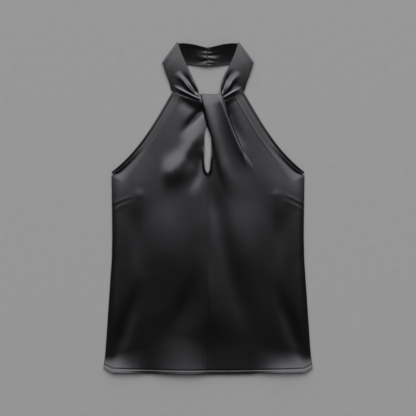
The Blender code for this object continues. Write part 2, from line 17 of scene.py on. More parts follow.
import bpy
import numpy as np
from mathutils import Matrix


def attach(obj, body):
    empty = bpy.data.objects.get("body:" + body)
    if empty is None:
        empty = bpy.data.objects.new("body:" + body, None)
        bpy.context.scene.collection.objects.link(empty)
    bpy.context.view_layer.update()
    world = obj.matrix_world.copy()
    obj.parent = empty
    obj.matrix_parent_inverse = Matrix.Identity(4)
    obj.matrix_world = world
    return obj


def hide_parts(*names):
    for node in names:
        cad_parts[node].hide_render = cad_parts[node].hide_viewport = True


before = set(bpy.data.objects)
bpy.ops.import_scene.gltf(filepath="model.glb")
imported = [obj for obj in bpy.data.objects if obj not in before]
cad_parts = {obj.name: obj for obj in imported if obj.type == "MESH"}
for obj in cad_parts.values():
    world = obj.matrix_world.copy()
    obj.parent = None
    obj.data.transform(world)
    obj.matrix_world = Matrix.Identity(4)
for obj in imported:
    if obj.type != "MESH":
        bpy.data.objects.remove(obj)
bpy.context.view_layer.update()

# %% [markdown]
# ## Sizes
#
# Everything is written in millimetres, as a pattern cutter would, and turned into metres only
# when a mesh is made. +X is the wearer's left, +Y points to the neck, and the table is z = 0.
# The edges of the garment come from short tables with one row for each place that a maker would
# mark on the pattern.

# %% The garment's sizes
MM = 0.001
HEM_Y = -365
UNDERARM_Y = 72
BACK_TOP_CENTRE_Y = 36
BACK_TOP_SIDE_Y = 72
CLOTH = 1.1
STRAP = 2
HEM_TURN = 8
HEM_THICK = 1.8
SEAM_GAP = 0.3
BINDING_WIDTH = 6.2
SLIT_FOOT_Y = 77
BACK_TOP_HALF = 211
BACK_TOP_POWER = 2.5

# The hem line: a slow curve, a quick turn up at each side seam, and how far up both die away
HEM_LIFT = 4.3
HEM_LIFT_HALF = 214
HEM_CORNER = 8
HEM_CORNER_FROM = 212
HEM_CORNER_REACH = 16
HEM_BLEND = 60

Width = namedtuple("Width", "name y half")
SIDE_WIDTHS = [
    Width("hem", -365, 229),
    Width("hip", -114, 211.9),
    Width("waist", -61, 210.8),
    Width("dart", 0, 211.4),
    Width("underarm", 72, 212.4),
]

# The armhole is one cubic curve: underarm, its handle, the neck handle, the neck point
ARMHOLE = np.array([[212.6, 79.6], [152.3, 124.6], [115, 193.9], [77.6, 258.4]])

# Level sections of the body, and sections of the yoke: a share along the armhole, then for each
# side where the section crosses the crest of the largest fold and where it meets the centre edge
BODY_LEVELS = [HEM_Y, HEM_Y + HEM_TURN, -330, -285, -235, -180, -120, -60, -5, 35, UNDERARM_Y - 1]
Section = namedtuple("Section", "name arm right_crest_x right_crest_y right_centre_x right_centre_y "
                                "left_crest_x left_crest_y left_centre_x left_centre_y")
YOKE = [
    Section("underarm", 0.06, -95, 84, -0.2, 76.5, 101, 80, 0.2, 76.5),
    Section("slit foot", 0.20, -88, 99, -6, 84.5, 94, 93, 3.8, 84.5),
    Section("slit low", 0.38, -77, 115, -8.6, 104, 84, 110, 6, 106),
    Section("slit middle", 0.55, -62, 135, -7.8, 130, 74.4, 128, 7.7, 136),
    Section("slit high", 0.68, -47, 157, -8.2, 155, 63.8, 152, 6.2, 158),
    Section("slit top", 0.80, -31, 182, -5.6, 176, 53.6, 176, -1, 177),
    Section("band foot", 0.90, -17, 205, 0, 195, 45.6, 202, -7.6, 198),
    Section("collar seam", 1.00, -8, 229.6, 4, 219, 34, 232, -13.2, 221),
]

# The seam that joins each collar half to its front, from the neck point to the knot
COLLAR_SEAM = {
    -1: np.array([[78.8, 258.9], [8, 229.6]]),
    1: np.array([[78.8, 258.9], [34.5, 232.3]]),
}
NECK_CORNER = 8.2

# Height of that seam's outer face above the table, highest where the gathers enter the knot
SeamHeight = namedtuple("SeamHeight", "name share right left")
SEAM_HEIGHTS = [
    SeamHeight("neck point", 0, 3.2, 3.2),
    SeamHeight("first third", 0.35, 3.7, 3.5),
    SeamHeight("gathers", 0.65, 5.4, 4.6),
    SeamHeight("last gathers", 0.88, 6, 5.6),
    SeamHeight("knot", 1, 5.6, 6),
]
print("body widths (mm):", {w.name: 2 * w.half for w in SIDE_WIDTHS})

# %% [markdown]
# ## Curves and grids
#
# A few small helpers carry most of the shapes. The main ones are an S-shaped step, a smooth
# curve through the rows of a table, and the armhole's own curve, which is a cubic with two
# handles. They all take whole arrays, so a piece with forty thousand points needs no loop over
# its points.

# %% Steps, smooth curves and the garment's edges
def smoothstep(value):
    """0 below 0, 1 above 1, and 3 v^2 - 2 v^3 in between."""
    value = np.clip(value, 0, 1)
    return value * value * (3 - 2 * value)


def cubic(part, ends, slopes, start):
    """Cubic between two rows that keeps their values and slopes, at a part of the way."""
    square, cube = part ** 2, part ** 3
    return ((2 * cube - 3 * square + 1) * ends[start] + (cube - 2 * square + part) * slopes[0]
            + (3 * square - 2 * cube) * ends[start + 1] + (cube - square) * slopes[1])


def smooth_line(points, places):
    """Cubic curve through a table's points, each one unit apart, read at the given places."""
    points = np.asarray(points, float)
    slopes = np.gradient(points, axis=0)
    start = np.clip(np.floor(places).astype(int), 0, len(points) - 2)
    part = (np.asarray(places) - start)[:, None]
    return cubic(part, points, (slopes[start], slopes[start + 1]), start)


def table_curve(value, table, mark, entry):
    """Cubic curve through one column of a table, at another's marks, level beyond both ends."""
    marks, entries = (np.array([getattr(row, field) for row in table], float) for field in (mark, entry))
    slopes = np.gradient(entries, marks)
    value = np.clip(value, marks[0], marks[-1])
    start = np.clip(np.searchsorted(marks, value) - 1, 0, len(marks) - 2)
    span = marks[start + 1] - marks[start]
    part = (value - marks[start]) / span
    return cubic(part, entries, (span * slopes[start], span * slopes[start + 1]), start)


def half_width(y):
    """Half the body's width at a height above the hem."""
    return np.interp(y, [w.y for w in SIDE_WIDTHS], [w.half for w in SIDE_WIDTHS])


def armhole(share, inset=0):
    """Point on the armhole's cubic at that share of it, moved into the cloth by the inset."""
    t = np.atleast_1d(np.asarray(share, float))[:, None]
    a, b, c, d = ARMHOLE
    point = (1 - t) ** 3 * a + 3 * (1 - t) ** 2 * t * b + 3 * (1 - t) * t ** 2 * c + t ** 3 * d
    run = (1 - t) ** 2 * (b - a) + 2 * (1 - t) * t * (c - b) + t ** 2 * (d - c)
    run /= np.linalg.norm(run, axis=1)[:, None]
    inward = np.stack([-run[:, 1], run[:, 0]], axis=1)
    return point + inward * np.reshape(inset, (-1, 1))


def hem_rise(x):
    """How far the hem curves up: lift * (x / half)^2, and a quick even turn at each corner."""
    x = np.abs(x)
    corner = np.clip((x - HEM_CORNER_FROM) / HEM_CORNER_REACH, 0, 1)
    return HEM_LIFT * (x / HEM_LIFT_HALF) ** 2 + HEM_CORNER * corner


def hem_shift(x, y):
    """How far the hem's curve moves a point up: all of it at the hem, none above the blend."""
    return hem_rise(x) * (1 - smoothstep((y - HEM_Y) / HEM_BLEND))


def back_top(x):
    """Upper edge of the back: a shallow scoop, a power of how near the side seam is."""
    side = (np.abs(x) / BACK_TOP_HALF) ** BACK_TOP_POWER
    return BACK_TOP_CENTRE_Y + (BACK_TOP_SIDE_Y - BACK_TOP_CENTRE_Y) * side


def distance_to(points, line):
    """Distance of each point to the nearest one of a line of close points."""
    return np.sqrt(((points[..., None, :] - line) ** 2).sum(axis=-1).min(axis=-1))


def seam_point(panel, share):
    """Point on the collar seam of one side: 0 at the neck point, 1 at the knot."""
    start, end = COLLAR_SEAM[panel]
    return (start + np.asarray(share, float)[..., None] * (end - start)) * (panel, 1)


def seam_height(panel, share):
    """Height of one side's collar seam at that share of it."""
    return table_curve(share, SEAM_HEIGHTS, "share", "left" if panel > 0 else "right")


print("armhole length (mm):",
      round(float(np.linalg.norm(np.diff(armhole(np.linspace(0, 1, 200)), axis=0), axis=1).sum()), 1))

# %% [markdown]
# ## Folds, placed one by one
#
# A cloth simulation would settle this top into folds of its own choosing. The folds here are
# known, so each one is a row of a table: a curve in the plane with a start, a middle and an end,
# a width at both ends, and a height, below zero for a trough. `lean` moves a fold's steep side:
# above zero the side to the left of its run is steep, below zero the right one. The height of
# the cloth is the sum of all the rows. No two rows are alike in length, depth or spacing,
# because even folds look like corrugated card.

# %% The relief of a table of folds
Fold = namedtuple("Fold", "name panel x0 y0 x1 y1 x2 y2 wide0 wide1 height grow fade lean",
                  defaults=(0.2, 0.35, 0))
FOLD_PIECES = 16
FOLD_REACH = 3.2


def fold_relief(x, y, folds, panel=0):
    """Height of a table's ridges and troughs at each point.

    away = distance to the fold's curve, a parabola through its three points
    height = fold height * ends fade * exp(-(away / width)^2)
    A fold of one panel, -1 right or 1 left, leaves the other alone.
    """
    total = np.zeros_like(x)
    share = np.linspace(0, 1, FOLD_PIECES + 1)[:, None]
    for fold in folds:
        if fold.panel == -panel and panel != 0:
            continue
        start, via, end = np.array([fold[2:4], fold[4:6], fold[6:8]], float)
        handle = 2 * via - (start + end) / 2
        line = (1 - share) ** 2 * start + 2 * share * (1 - share) * handle + share ** 2 * end
        line_x, line_y = line.T
        reach = FOLD_REACH * max(fold.wide0, fold.wide1) * (1 + abs(fold.lean))
        near = ((x > line_x.min() - reach) & (x < line_x.max() + reach)
                & (y > line_y.min() - reach) & (y < line_y.max() + reach))
        if not near.any():
            continue
        run_x, run_y = np.diff(line_x), np.diff(line_y)
        off_x = x[near][:, None] - line_x[:-1]
        off_y = y[near][:, None] - line_y[:-1]
        along = np.clip((off_x * run_x + off_y * run_y) / (run_x ** 2 + run_y ** 2), 0, 1)
        away = np.hypot(off_x - along * run_x, off_y - along * run_y)
        nearest = np.argmin(away, axis=1)[:, None]
        side = np.sign(run_x * off_y - run_y * off_x)
        away, along, side = (np.take_along_axis(a, nearest, 1)[:, 0] for a in (away, along, side))
        place = (nearest[:, 0] + along) / FOLD_PIECES
        wide = (fold.wide0 + (fold.wide1 - fold.wide0) * place) * (1 - fold.lean * side)
        fade = smoothstep(place / fold.grow) * smoothstep((1 - place) / fold.fade)
        total[near] += fold.height * fade * np.exp(-(away / wide) ** 2)
    return total


# %% [markdown]
# ## A wall of cloth
#
# Cloth has two faces and a rim. The outer face is a grid of points. The inner face is the same
# grid moved back along the normals, and never lower than what lies under it. The rim joins the
# two in a half-round, because the edges of this top are folded and stitched, not cut.

# %% Mesh makers
GARMENT = "root"
SIDES = ((-1, "right"), (1, "left"))
SHARP_ANGLE = math.radians(60)


def add_piece(name, mesh, slot, node):
    """Object at the origin that rides on the garment, takes a finish and replaces a plain node."""
    piece = bpy.data.objects.new(name, mesh)
    bpy.context.collection.objects.link(piece)
    mesh.materials.append(SATIN[slot])
    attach(piece, GARMENT)
    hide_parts(node)
    print(f"{name}: {len(mesh.vertices)} points, {len(mesh.polygons)} faces")
    return piece


def shaded(mesh):
    """The mesh with smooth shading, apart from edges past the sharp angle."""
    mesh.shade_smooth()
    mesh.set_sharp_from_angle(angle=SHARP_ANGLE)
    return mesh


def quad_mesh(name, points, quads):
    """Mesh from arrays of points in millimetres and of four corners a face."""
    mesh = bpy.data.meshes.new(name)
    mesh.vertices.add(len(points))
    mesh.vertices.foreach_set("co", (points * MM).astype(np.float32).ravel())
    mesh.loops.add(quads.size)
    mesh.loops.foreach_set("vertex_index", quads.astype(np.int32).ravel())
    mesh.polygons.add(len(quads))
    mesh.polygons.foreach_set("loop_start", np.arange(0, quads.size, 4, dtype=np.int32))
    mesh.update(calc_edges=True)
    return shaded(mesh)


def grid_normals(face, cells):
    """Unit normal of each grid point: the sum of the crossed diagonals of its squares."""
    square = np.cross(face[1:, 1:] - face[:-1, :-1], face[1:, :-1] - face[:-1, 1:])
    square *= cells[..., None]
    normal = np.zeros_like(face)
    for rows in (slice(None, -1), slice(1, None)):
        for columns in (slice(None, -1), slice(1, None)):
            normal[rows, columns] += square
    return normal / np.maximum(np.linalg.norm(normal, axis=-1, keepdims=True), 1e-12)


def rim_edges(quads):
    """Border edges of a grid: those of one square only, each in the order its square runs."""
    first, second = quads.ravel(), np.roll(quads, -1, axis=1).ravel()
    edge = np.minimum(first, second) * (quads.max() + 1) + np.maximum(first, second)
    _, number, count = np.unique(edge, return_inverse=True, return_counts=True)
    once = count[number] == 1
    return first[once], second[once]


RIM_STEPS = 4
RIM_BULGE = 0.3


def cloth_wall(name, face, thickness, lowest=0, cells=None):
    """Closed wall behind a grid of outer points.

    inner point = outer point - thickness * normal, no lower than `lowest`
    rim point   = half-ellipse from outer to inner, bulging out by a share of the thickness
    """
    rows, columns = face.shape[:2]
    if cells is None:
        cells = np.ones((rows - 1, columns - 1), bool)
    normal = grid_normals(face, cells)
    inner = face - normal * np.broadcast_to(thickness, (rows, columns))[..., None]
    inner[..., 2] = np.maximum(inner[..., 2], lowest)
    number = np.arange(rows * columns).reshape(rows, columns)
    corners = (number[:-1, :-1], number[:-1, 1:], number[1:, 1:], number[1:, :-1])
    outer_quads = np.stack([c[cells] for c in corners], axis=1)
    inner_quads = outer_quads[:, ::-1] + rows * columns

    first, second = rim_edges(outer_quads)
    points = face.reshape(-1, 3)
    behind = inner.reshape(-1, 3)
    out = np.zeros_like(points)
    edge_out = np.cross(points[second] - points[first], normal.reshape(-1, 3)[first])
    np.add.at(out, first, edge_out)
    np.add.at(out, second, edge_out)
    border = np.unique(first)
    out = out[border] / np.linalg.norm(out[border], axis=1, keepdims=True)
    middle = (points[border] + behind[border]) / 2
    half = (points[border] - behind[border]) / 2
    wide = np.linalg.norm(half, axis=1, keepdims=True) * 2 * RIM_BULGE
    place = np.zeros(rows * columns, int)
    place[border] = np.arange(len(border))
    rings = [np.arange(rows * columns)]
    stack = [points, behind]
    for step in range(1, RIM_STEPS):
        angle = math.pi * step / RIM_STEPS
        stack.append(middle + half * math.cos(angle) + out * wide * math.sin(angle))
        rings.append(2 * rows * columns + (step - 1) * len(border) + place)
    rings.append(np.arange(rows * columns) + rows * columns)
    rim = [np.stack([near[second], near[first], far[first], far[second]], axis=1)
           for near, far in zip(rings, rings[1:])]
    quads = np.concatenate([outer_quads, inner_quads, *rim])
    used, compact = np.unique(quads, return_inverse=True)
    return quad_mesh(name, np.concatenate(stack)[used], compact.reshape(-1, 4))


def tube_mesh(name, rings):
    """Closed tube through rings of points, with a fan of faces at each end."""
    count, sides = rings.shape[:2]
    number = np.arange(count * sides).reshape(count, sides)
    turned = np.roll(number, -1, axis=1)
    quads = np.stack([number[:-1], turned[:-1], turned[1:], number[1:]], axis=-1).reshape(-1, 4)
    ends = np.stack([rings[0].mean(axis=0), rings[-1].mean(axis=0)])
    first, last = count * sides, count * sides + 1
    faces = quads.tolist()
    faces += [(int(b), int(a), first) for a, b in zip(number[0], turned[0])]
    faces += [(int(a), int(b), last) for a, b in zip(number[-1], turned[-1])]
    mesh = bpy.data.meshes.new(name)
    mesh.from_pydata((np.concatenate([rings.reshape(-1, 3), ends]) * MM).tolist(), [], faces)
    return shaded(mesh)


# %% [markdown]
# ## The satin
#
# Satin is woven so that long threads lie side by side on its face. They are too fine to see from
# a step away, and what they do is gather the light: a black satin is nearly black where it
# reflects a dark room, and silver where a fold faces a lamp. So the base colour is almost black,
# and the gloss is that of a half-smooth surface. Three effects are shared by all the materials
# as node groups: the weave, which is a fine ribbed height; shallow creasing, which breaks up the
# highlights; and a slow drift of tone and gloss.

# %% Shared effects as node groups
WEAVE_SLANT = 0.2
WEAVE_TIE_SHARPNESS = 8
WEAVE_TIE_DEPTH = 0.4
FINE_CREASE_RATE = 5


def effect_group(name, output, **inputs):
    """Shader node group of a vector and numbers, with its input sockets and its one output."""
    group = bpy.data.node_groups.new(name, "ShaderNodeTree")
    group.interface.new_socket("Vector", in_out="INPUT", socket_type="NodeSocketVector")
    for label, value in inputs.items():
        socket = group.interface.new_socket(label, in_out="INPUT", socket_type="NodeSocketFloat")
        socket.default_value = value
    group.interface.new_socket(output, in_out="OUTPUT", socket_type="NodeSocketFloat")
    inside, outside = group.nodes.new("NodeGroupInput"), group.nodes.new("NodeGroupOutput")
    return group, inside.outputs, outside.inputs[output]


def feed(group, value, socket):
    """Give a socket its value, which is a number or another node's output."""
    if isinstance(value, (int, float)):
        socket.default_value = value
    else:
        group.links.new(value, socket)


def maths(group, operation, first, second=0):
    """Result of a Math node with two values."""
    node = group.nodes.new("ShaderNodeMath")
    node.operation = operation
    feed(group, first, node.inputs[0])
    feed(group, second, node.inputs[1])
    return node.outputs[0]


def noise(group, vector, scale, detail, roughness=0.5):
    """Noise texture that reads a vector."""
    node = group.nodes.new("ShaderNodeTexNoise")
    values = {"Vector": vector, "Scale": scale, "Detail": detail, "Roughness": roughness}
    for label, value in values.items():
        feed(group, value, node.inputs[label])
    return node.outputs["Fac"]


def weave_effect():
    """Height of long warp threads, |sin across|, tied down here and there by the weft."""
    group, given, height = effect_group("satin_weave", "Height", Threads=2800)
    split = group.nodes.new("ShaderNodeSeparateXYZ")
    group.links.new(given["Vector"], split.inputs[0])
    across = maths(group, "MULTIPLY", split.outputs[0], given["Threads"])
    along = maths(group, "MULTIPLY", split.outputs[1], given["Threads"])
    warp = maths(group, "ABSOLUTE", maths(group, "SINE", across))
    shifted = maths(group, "ADD", maths(group, "MULTIPLY", along, WEAVE_SLANT), across)
    wave = maths(group, "ABSOLUTE", maths(group, "SINE", shifted))
    ties = maths(group, "POWER", wave, WEAVE_TIE_SHARPNESS)
    tied = maths(group, "MULTIPLY", ties, WEAVE_TIE_DEPTH)
    group.links.new(maths(group, "SUBTRACT", warp, tied), height)
    return group


def creasing_effect():
    """Height of shallow creasing: slow hollows, and finer ones on top of them."""
    group, given, height = effect_group("soft_creasing", "Height", Size=9, Fine=0.25)
    slow = noise(group, given["Vector"], given["Size"], 1)
    fine_size = maths(group, "MULTIPLY", given["Size"], FINE_CREASE_RATE)
    fine = noise(group, given["Vector"], fine_size, 2)
    group.links.new(maths(group, "ADD", slow, maths(group, "MULTIPLY", fine, given["Fine"])), height)
    return group


def drift_effect():
    """Mask between 0 and 1 that wanders slowly over a surface."""
    group, given, mask = effect_group("tone_drift", "Mask", Size=12)
    group.links.new(noise(group, given["Vector"], given["Size"], 3, 0.55), mask)
    return group


WEAVE = weave_effect()
CREASING = creasing_effect()
DRIFT = drift_effect()
print("shared effects:", [g.name for g in (WEAVE, CREASING, DRIFT)])

# %% Helpers for the materials
def new_material(name):
    """New material, with its node tree, its Principled shader and its object coordinates."""
    material = bpy.data.materials.new(name)
    material.use_nodes = True
    tree = material.node_tree
    place = tree.nodes.new("ShaderNodeTexCoord").outputs["Object"]
    return material, tree, tree.nodes["Principled BSDF"], place


def use_effect(tree, group, place, **values):
    """Output of a shared effect read at the coordinates, with the given inputs."""
    node = tree.nodes.new("ShaderNodeGroup")
    node.node_tree = group
    tree.links.new(place, node.inputs["Vector"])
    for label, value in values.items():
        node.inputs[label].default_value = value
    return node.outputs[0]


def mix_tones(tree, shader, mask, dark, light):
    """Base colour that a mask moves between two tones, each red, green and blue."""
    colour = tree.nodes.new("ShaderNodeMix")
    colour.data_type = "RGBA"
    tree.links.new(mask, colour.inputs["Factor"])
    colour.inputs["A"].default_value = (*dark, 1)
    colour.inputs["B"].default_value = (*light, 1)
    tree.links.new(colour.outputs["Result"], shader.inputs["Base Color"])


# %% The finishes
Finish = namedtuple("Finish", "name dark light smooth rough gloss crease crease_size")
FINISHES = [
    Finish("satin", 0.0012, 0.0022, 0.22, 0.26, 1, 0.00030, 9),
    Finish("satin_collar", 0.0012, 0.0022, 0.21, 0.25, 1, 0.00018, 16),
    Finish("satin_binding", 0.0010, 0.0018, 0.26, 0.32, 0.8, 0.00020, 60),
    Finish("satin_button", 0.0012, 0.0022, 0.22, 0.26, 1, 0.00012, 120),
]
SATIN_TINT = (0.95, 0.93, 1, 1)
SATIN_IOR = 1.52
DARK_BLUE = 1.12
LIGHT_BLUE = 1.10
DRIFT_SIZE = 14
THREAD_HEIGHT = 0.00001


def satin(finish):
    """Principled material: dark and light tone and two gloss levels mixed by the drift mask."""
    material, tree, shader, place = new_material(finish.name)
    shader.inputs["Specular IOR Level"].default_value = finish.gloss
    shader.inputs["Specular Tint"].default_value = SATIN_TINT
    shader.inputs["IOR"].default_value = SATIN_IOR
    mask = use_effect(tree, DRIFT, place, Size=DRIFT_SIZE)
    mix_tones(tree, shader, mask, (finish.dark, finish.dark, finish.dark * DARK_BLUE),
              (finish.light, finish.light, finish.light * LIGHT_BLUE))
    gloss = tree.nodes.new("ShaderNodeMapRange")
    gloss.inputs["To Min"].default_value = finish.smooth
    gloss.inputs["To Max"].default_value = finish.rough
    tree.links.new(mask, gloss.inputs["Value"])
    tree.links.new(gloss.outputs["Result"], shader.inputs["Roughness"])
    creases = tree.nodes.new("ShaderNodeBump")
    creases.inputs["Distance"].default_value = finish.crease
    hollows = use_effect(tree, CREASING, place, Size=finish.crease_size)
    tree.links.new(hollows, creases.inputs["Height"])
    threads = tree.nodes.new("ShaderNodeBump")
    threads.inputs["Distance"].default_value = THREAD_HEIGHT
    tree.links.new(use_effect(tree, WEAVE, place), threads.inputs["Height"])
    tree.links.new(creases.outputs["Normal"], threads.inputs["Normal"])
    tree.links.new(threads.outputs["Normal"], shader.inputs["Normal"])
    return material


SATIN = {finish.name: satin(finish) for finish in FINISHES}
print("finishes:", list(SATIN))

# %% [markdown]
# ## The back
#
# The back is one piece that lies on the table under everything else. Its top edge is a shallow
# scoop from underarm to underarm, so the neck opening and the slit show the bare table. It needs
# only a flat shell with a doubled hem.

# %% The back
PANEL_COLUMNS = 121
PANEL_HEM_ROWS = 9
PANEL_ROWS = 60
PANEL_HEM_SHARE = 0.035
PANEL_ABOVE_SHARE = 0.05


def back_face():
    """Grid of the back's lower face, at table height, from the hem to the scoop."""
    across = np.linspace(-1, 1, PANEL_COLUMNS)
    share = np.concatenate([np.linspace(0, PANEL_HEM_SHARE, PANEL_HEM_ROWS),
                            np.linspace(PANEL_ABOVE_SHARE, 1, PANEL_ROWS)])[:, None]
    x = half_width(HEM_Y + share * (BACK_TOP_SIDE_Y - HEM_Y)) * across
    y = HEM_Y + share * (back_top(x) - HEM_Y)
    y += hem_shift(x, y)
    return np.stack([x, y, np.zeros_like(x)], axis=-1)[:, ::-1]


face = back_face()
in_hem = face[..., 1] - hem_rise(face[..., 0]) < HEM_Y + HEM_TURN
mesh = cloth_wall("back_cloth", face, np.where(in_hem, HEM_THICK, CLOTH))
back = add_piece("back_cloth", mesh, "satin", "back_panel")

# %% [markdown]
# ## The fronts
#
# Each front runs from its side seam to the centre front seam, and above the bust to the armhole,
# the slit and the knot. A section is drawn from the side edge to the crest of the largest fold
# and on to the centre edge. The sections follow each other from the hem to the collar seam, and
# their columns follow the folds that fan out from the knot. The height of the cloth above the
# table is a low loft that rolls down to the edges, plus the fold tables.

# %% Tables of the fronts' relief
Level = namedtuple("Level", "name y loft")
LOFTS = [
    Level("hem", -365, 1.8),
    Level("above hem", -325, 2.2),
    Level("low hip", -250, 3),
    Level("hip", -150, 3.2),
    Level("waist", -50, 2.8),
    Level("bust", 22, 1.6),
    Level("yoke", 120, 0.4),
    Level("high yoke", 180, 0.3),
    Level("neck", 260, 0.4),
]

# The hem curls up from the table, most at its two corners
Curl = namedtuple("Curl", "name x height reach")
HEM_CURLS = [
    Curl("right end", -229, 4.2, 28),
    Curl("right corner", -200, 6.2, 40),
    Curl("right inner", -165, 5.2, 50),
    Curl("right hollow", -128, 2.4, 62),
    Curl("right rise", -98, 5.6, 84),
    Curl("right middle", -60, 7.8, 84),
    Curl("beside the seam", -25, 6.8, 76),
    Curl("centre seam", 2, 3.6, 62),
    Curl("left of centre", 30, 2.9, 62),
    Curl("left middle", 60, 3.2, 70),
    Curl("left hollow", 96, 2.8, 70),
    Curl("left rise", 125, 5.4, 60),
    Curl("left inner", 152, 7, 54),
    Curl("left corner", 200, 6.4, 42),
    Curl("left end", 229, 4.2, 28),
]
CURL_POWER = 1.6

FOLDS = [
    # the wearer's right: gathers at the knot and the great ridge across the bust
    Fold("knot trough", -1, 0, 222, -33, 191, -62, 150, 7, 11, -3.2, 0.1, 0.6),
    Fold("knot wedge", -1, -68, 245, -41, 228, -12, 208, 9, 13, -0.9, 0.35, 0.1, 0.5),
    Fold("great ridge", -1, -10, 198, -38, 134, -82, 80, 13, 18, 2.5, 0.4, 0.28),
    Fold("ridge foot", -1, -112, 74, -72, 80, -30, 104, 26, 23, 3.6, 0.45, 0.5),
    Fold("bust trough", -1, -12, 130, -20, 84, -42, 26, 9, 14, -1.7, 0.3, 0.4),
    Fold("breast", -1, -86, 30, -88, -80, -80, -214, 30, 40, 2, 0.6, 0.45),
    # the wearer's left: the band and what it pulls with it
    Fold("band left crest", 1, -12, 250, 14, 146, 50, 20, 9, 14, 2.8, 0.05, 0.3, -0.35),
    Fold("band right crest", 1, 30, 240, 54.5, 172, 91, 88, 5, 6.5, 1.3, 0.05, 0.25, 0.75),
    Fold("beyond the band", 1, 38, 228, 56, 178, 82, 126, 6, 7, -1.6, 0.25, 0.5, -0.85),
    Fold("breast", 1, 84, 26, 80, -80, 108, -216, 26, 34, 1.6, 0.6, 0.45),
    # the body: long folds that start at the bust and the slit
    Fold("centre sweep", 0, 12, 96, 38, -90, 106, -318, 14, 26, -2.8, 0.3, 0.25),
    Fold("centre ridge", 0, -6, -60, 2, -200, 34, -300, 20, 34, 2.6, 0.5, 0.4),
    Fold("right sweep", -1, -18, -100, -50, -222, -126, -304, 24, 38, -3, 0.45, 0.5, -0.3),
    Fold("underarm fall", -1, -205, 22, -160, 28, -112, 20, 62, 60, 1.5, 0.4, 0.5, -0.3),
    Fold("underarm fall", 1, 205, 20, 158, 26, 108, 14, 60, 62, 1.7, 0.4, 0.5, 0.3),
    Fold("side sweep", -1, -154, -150, -176, -246, -222, -356, 13, 18, -3.2, 0.5, 0.35),
    Fold("side sweep", 1, 150, -150, 176, -246, 222, -356, 13, 18, -3.2, 0.5, 0.35),
    Fold("side hollow", -1, -158, 20, -158, -60, -152, -160, 13, 16, -1.4, 0.5, 0.5),
    Fold("side hollow", 1, 152, 10, 156, -60, 150, -160, 13, 16, -1.4, 0.5, 0.5),
    Fold("side fullness", -1, -202, 84, -202, -50, -214, -350, 18, 20, 2.8, 0.36, 0.2),
    Fold("side fullness", 1, 202, 84, 202, -50, 214, -350, 18, 20, 2.8, 0.36, 0.2),
    Fold("dart point", -1, -168, 30, -150, 30, -134, 30, 9, 9, 0.35, 0.5, 0.5),
    Fold("dart point", 1, 168, 30, 150, 30, 134, 30, 9, 9, 0.35, 0.5, 0.5),
]

# What the needle leaves: the darts with their puckers, and the tack below the slit
SEWING = [
    Fold("dart", -1, -213, -2, -194, 11, -160, 22, 1.3, 1, -0.3),
    Fold("dart upper lip", -1, -212, 4, -190, 17, -158, 27, 4.4, 3.4, 0.2),
    Fold("dart lower lip", -1, -212, -8, -190, 4, -160, 16, 4.4, 3.4, 0.16),
    Fold("dart", 1, 213, 1, 194, 12, 160, 28, 1.3, 1, -0.3),
    Fold("dart upper lip", 1, 212, 8, 190, 19, 158, 34, 4.4, 3.4, 0.2),
    Fold("dart lower lip", 1, 212, -6, 190, 6, 160, 22, 4.4, 3.4, 0.16),
    Fold("tack", 0, -1, 84, -1, 79, -1, 73, 2, 1.6, -1),
]

print(len(FOLDS), "folds and", len(SEWING), "sewn lines")

# %% The grid of a front
FRONT_ROWS = 236
SIDE_COLUMNS = 92
WALL_COLUMNS = 7
CENTRE_COLUMNS = 80
BAND_FOOT = (3, 2)


def of_side(row, panel, *columns):
    """A row's entries for one side, from the columns that begin with that side's name."""
    return [getattr(row, f"{'left' if panel > 0 else 'right'}_{column}") for column in columns]


def front_guides(panel, places):
    """Side edge, fold crest and centre edge of one front at the given places of its sections."""
    levels = np.array(BODY_LEVELS)
    arms = smooth_line([[0]] * len(levels) + [[s.arm] for s in YOKE], places)[:, 0]
    level = smooth_line([[y] for y in levels], np.minimum(places, len(levels) - 1))[:, 0]
    side = np.stack([half_width(level), level], axis=1)
    side = np.where((arms > 0)[:, None], armhole(arms, BINDING_WIDTH + SEAM_GAP), side) * (panel, 1)
    start, end = COLLAR_SEAM[panel]
    side[-1] = seam_point(panel, NECK_CORNER / np.linalg.norm(end - start))
    crest = [of_side(s, panel, "crest_x", "crest_y") for s in YOKE]
    centre = [of_side(s, panel, "centre_x", "centre_y") for s in YOKE]
    crest = [(crest[0][0], y) for y in levels] + crest
    centre = [(panel * SEAM_GAP / 2, y) for y in levels] + centre
    return side, smooth_line(crest, places), smooth_line(centre, places)


def front_grid(panel, places):
    """Flat grid of one front: straight runs from the side to the crest and on to the centre.

    On the left front the run from the side stops at the band's foot, and a few columns climb
    from there to the band's edge.
    """
    side, crest, centre = (line[:, None] for line in front_guides(panel, places))
    share = np.linspace(0, 1, SIDE_COLUMNS + 1)[:, None]
    climb = np.linspace(0, 1, WALL_COLUMNS + 1)[1:, None]
    inward = np.linspace(0, 1, CENTRE_COLUMNS + 1)[1:, None]
    foot = crest + (np.array(BAND_FOOT) if panel > 0 else 0)
    parts = [side + share * (foot - side)]
    if panel > 0:
        parts.append(foot + climb * (crest - foot))
    parts.append(crest + inward * (centre - crest))
    flat = np.concatenate(parts, axis=1)
    flat[..., 1] += hem_shift(flat[..., 0], flat[..., 1])
    return flat


places = np.linspace(0, len(BODY_LEVELS) + len(YOKE) - 1, FRONT_ROWS)
right_flat = front_grid(-1, places)
left_flat = front_grid(1, places)
print("points of the fronts' grids:", right_flat.shape[:2], left_flat.shape[:2])

# %% Edges, hem and walls of a front
ARMHOLE_POINTS = 120
ARMHOLE_LIP = 2.2
ARMHOLE_LIP_WIDTH = 9
ARMHOLE_LIP_RISE = 10
ARMHOLE_LIP_TO = 150
ARMHOLE_LIP_FADE = 60
FREE_FLOOR = 0.3
FLOOR_EASE = 80
FLOOR_EASE_TO = 90
HEM_EASE = 12
HEM_EASE_TO = 14


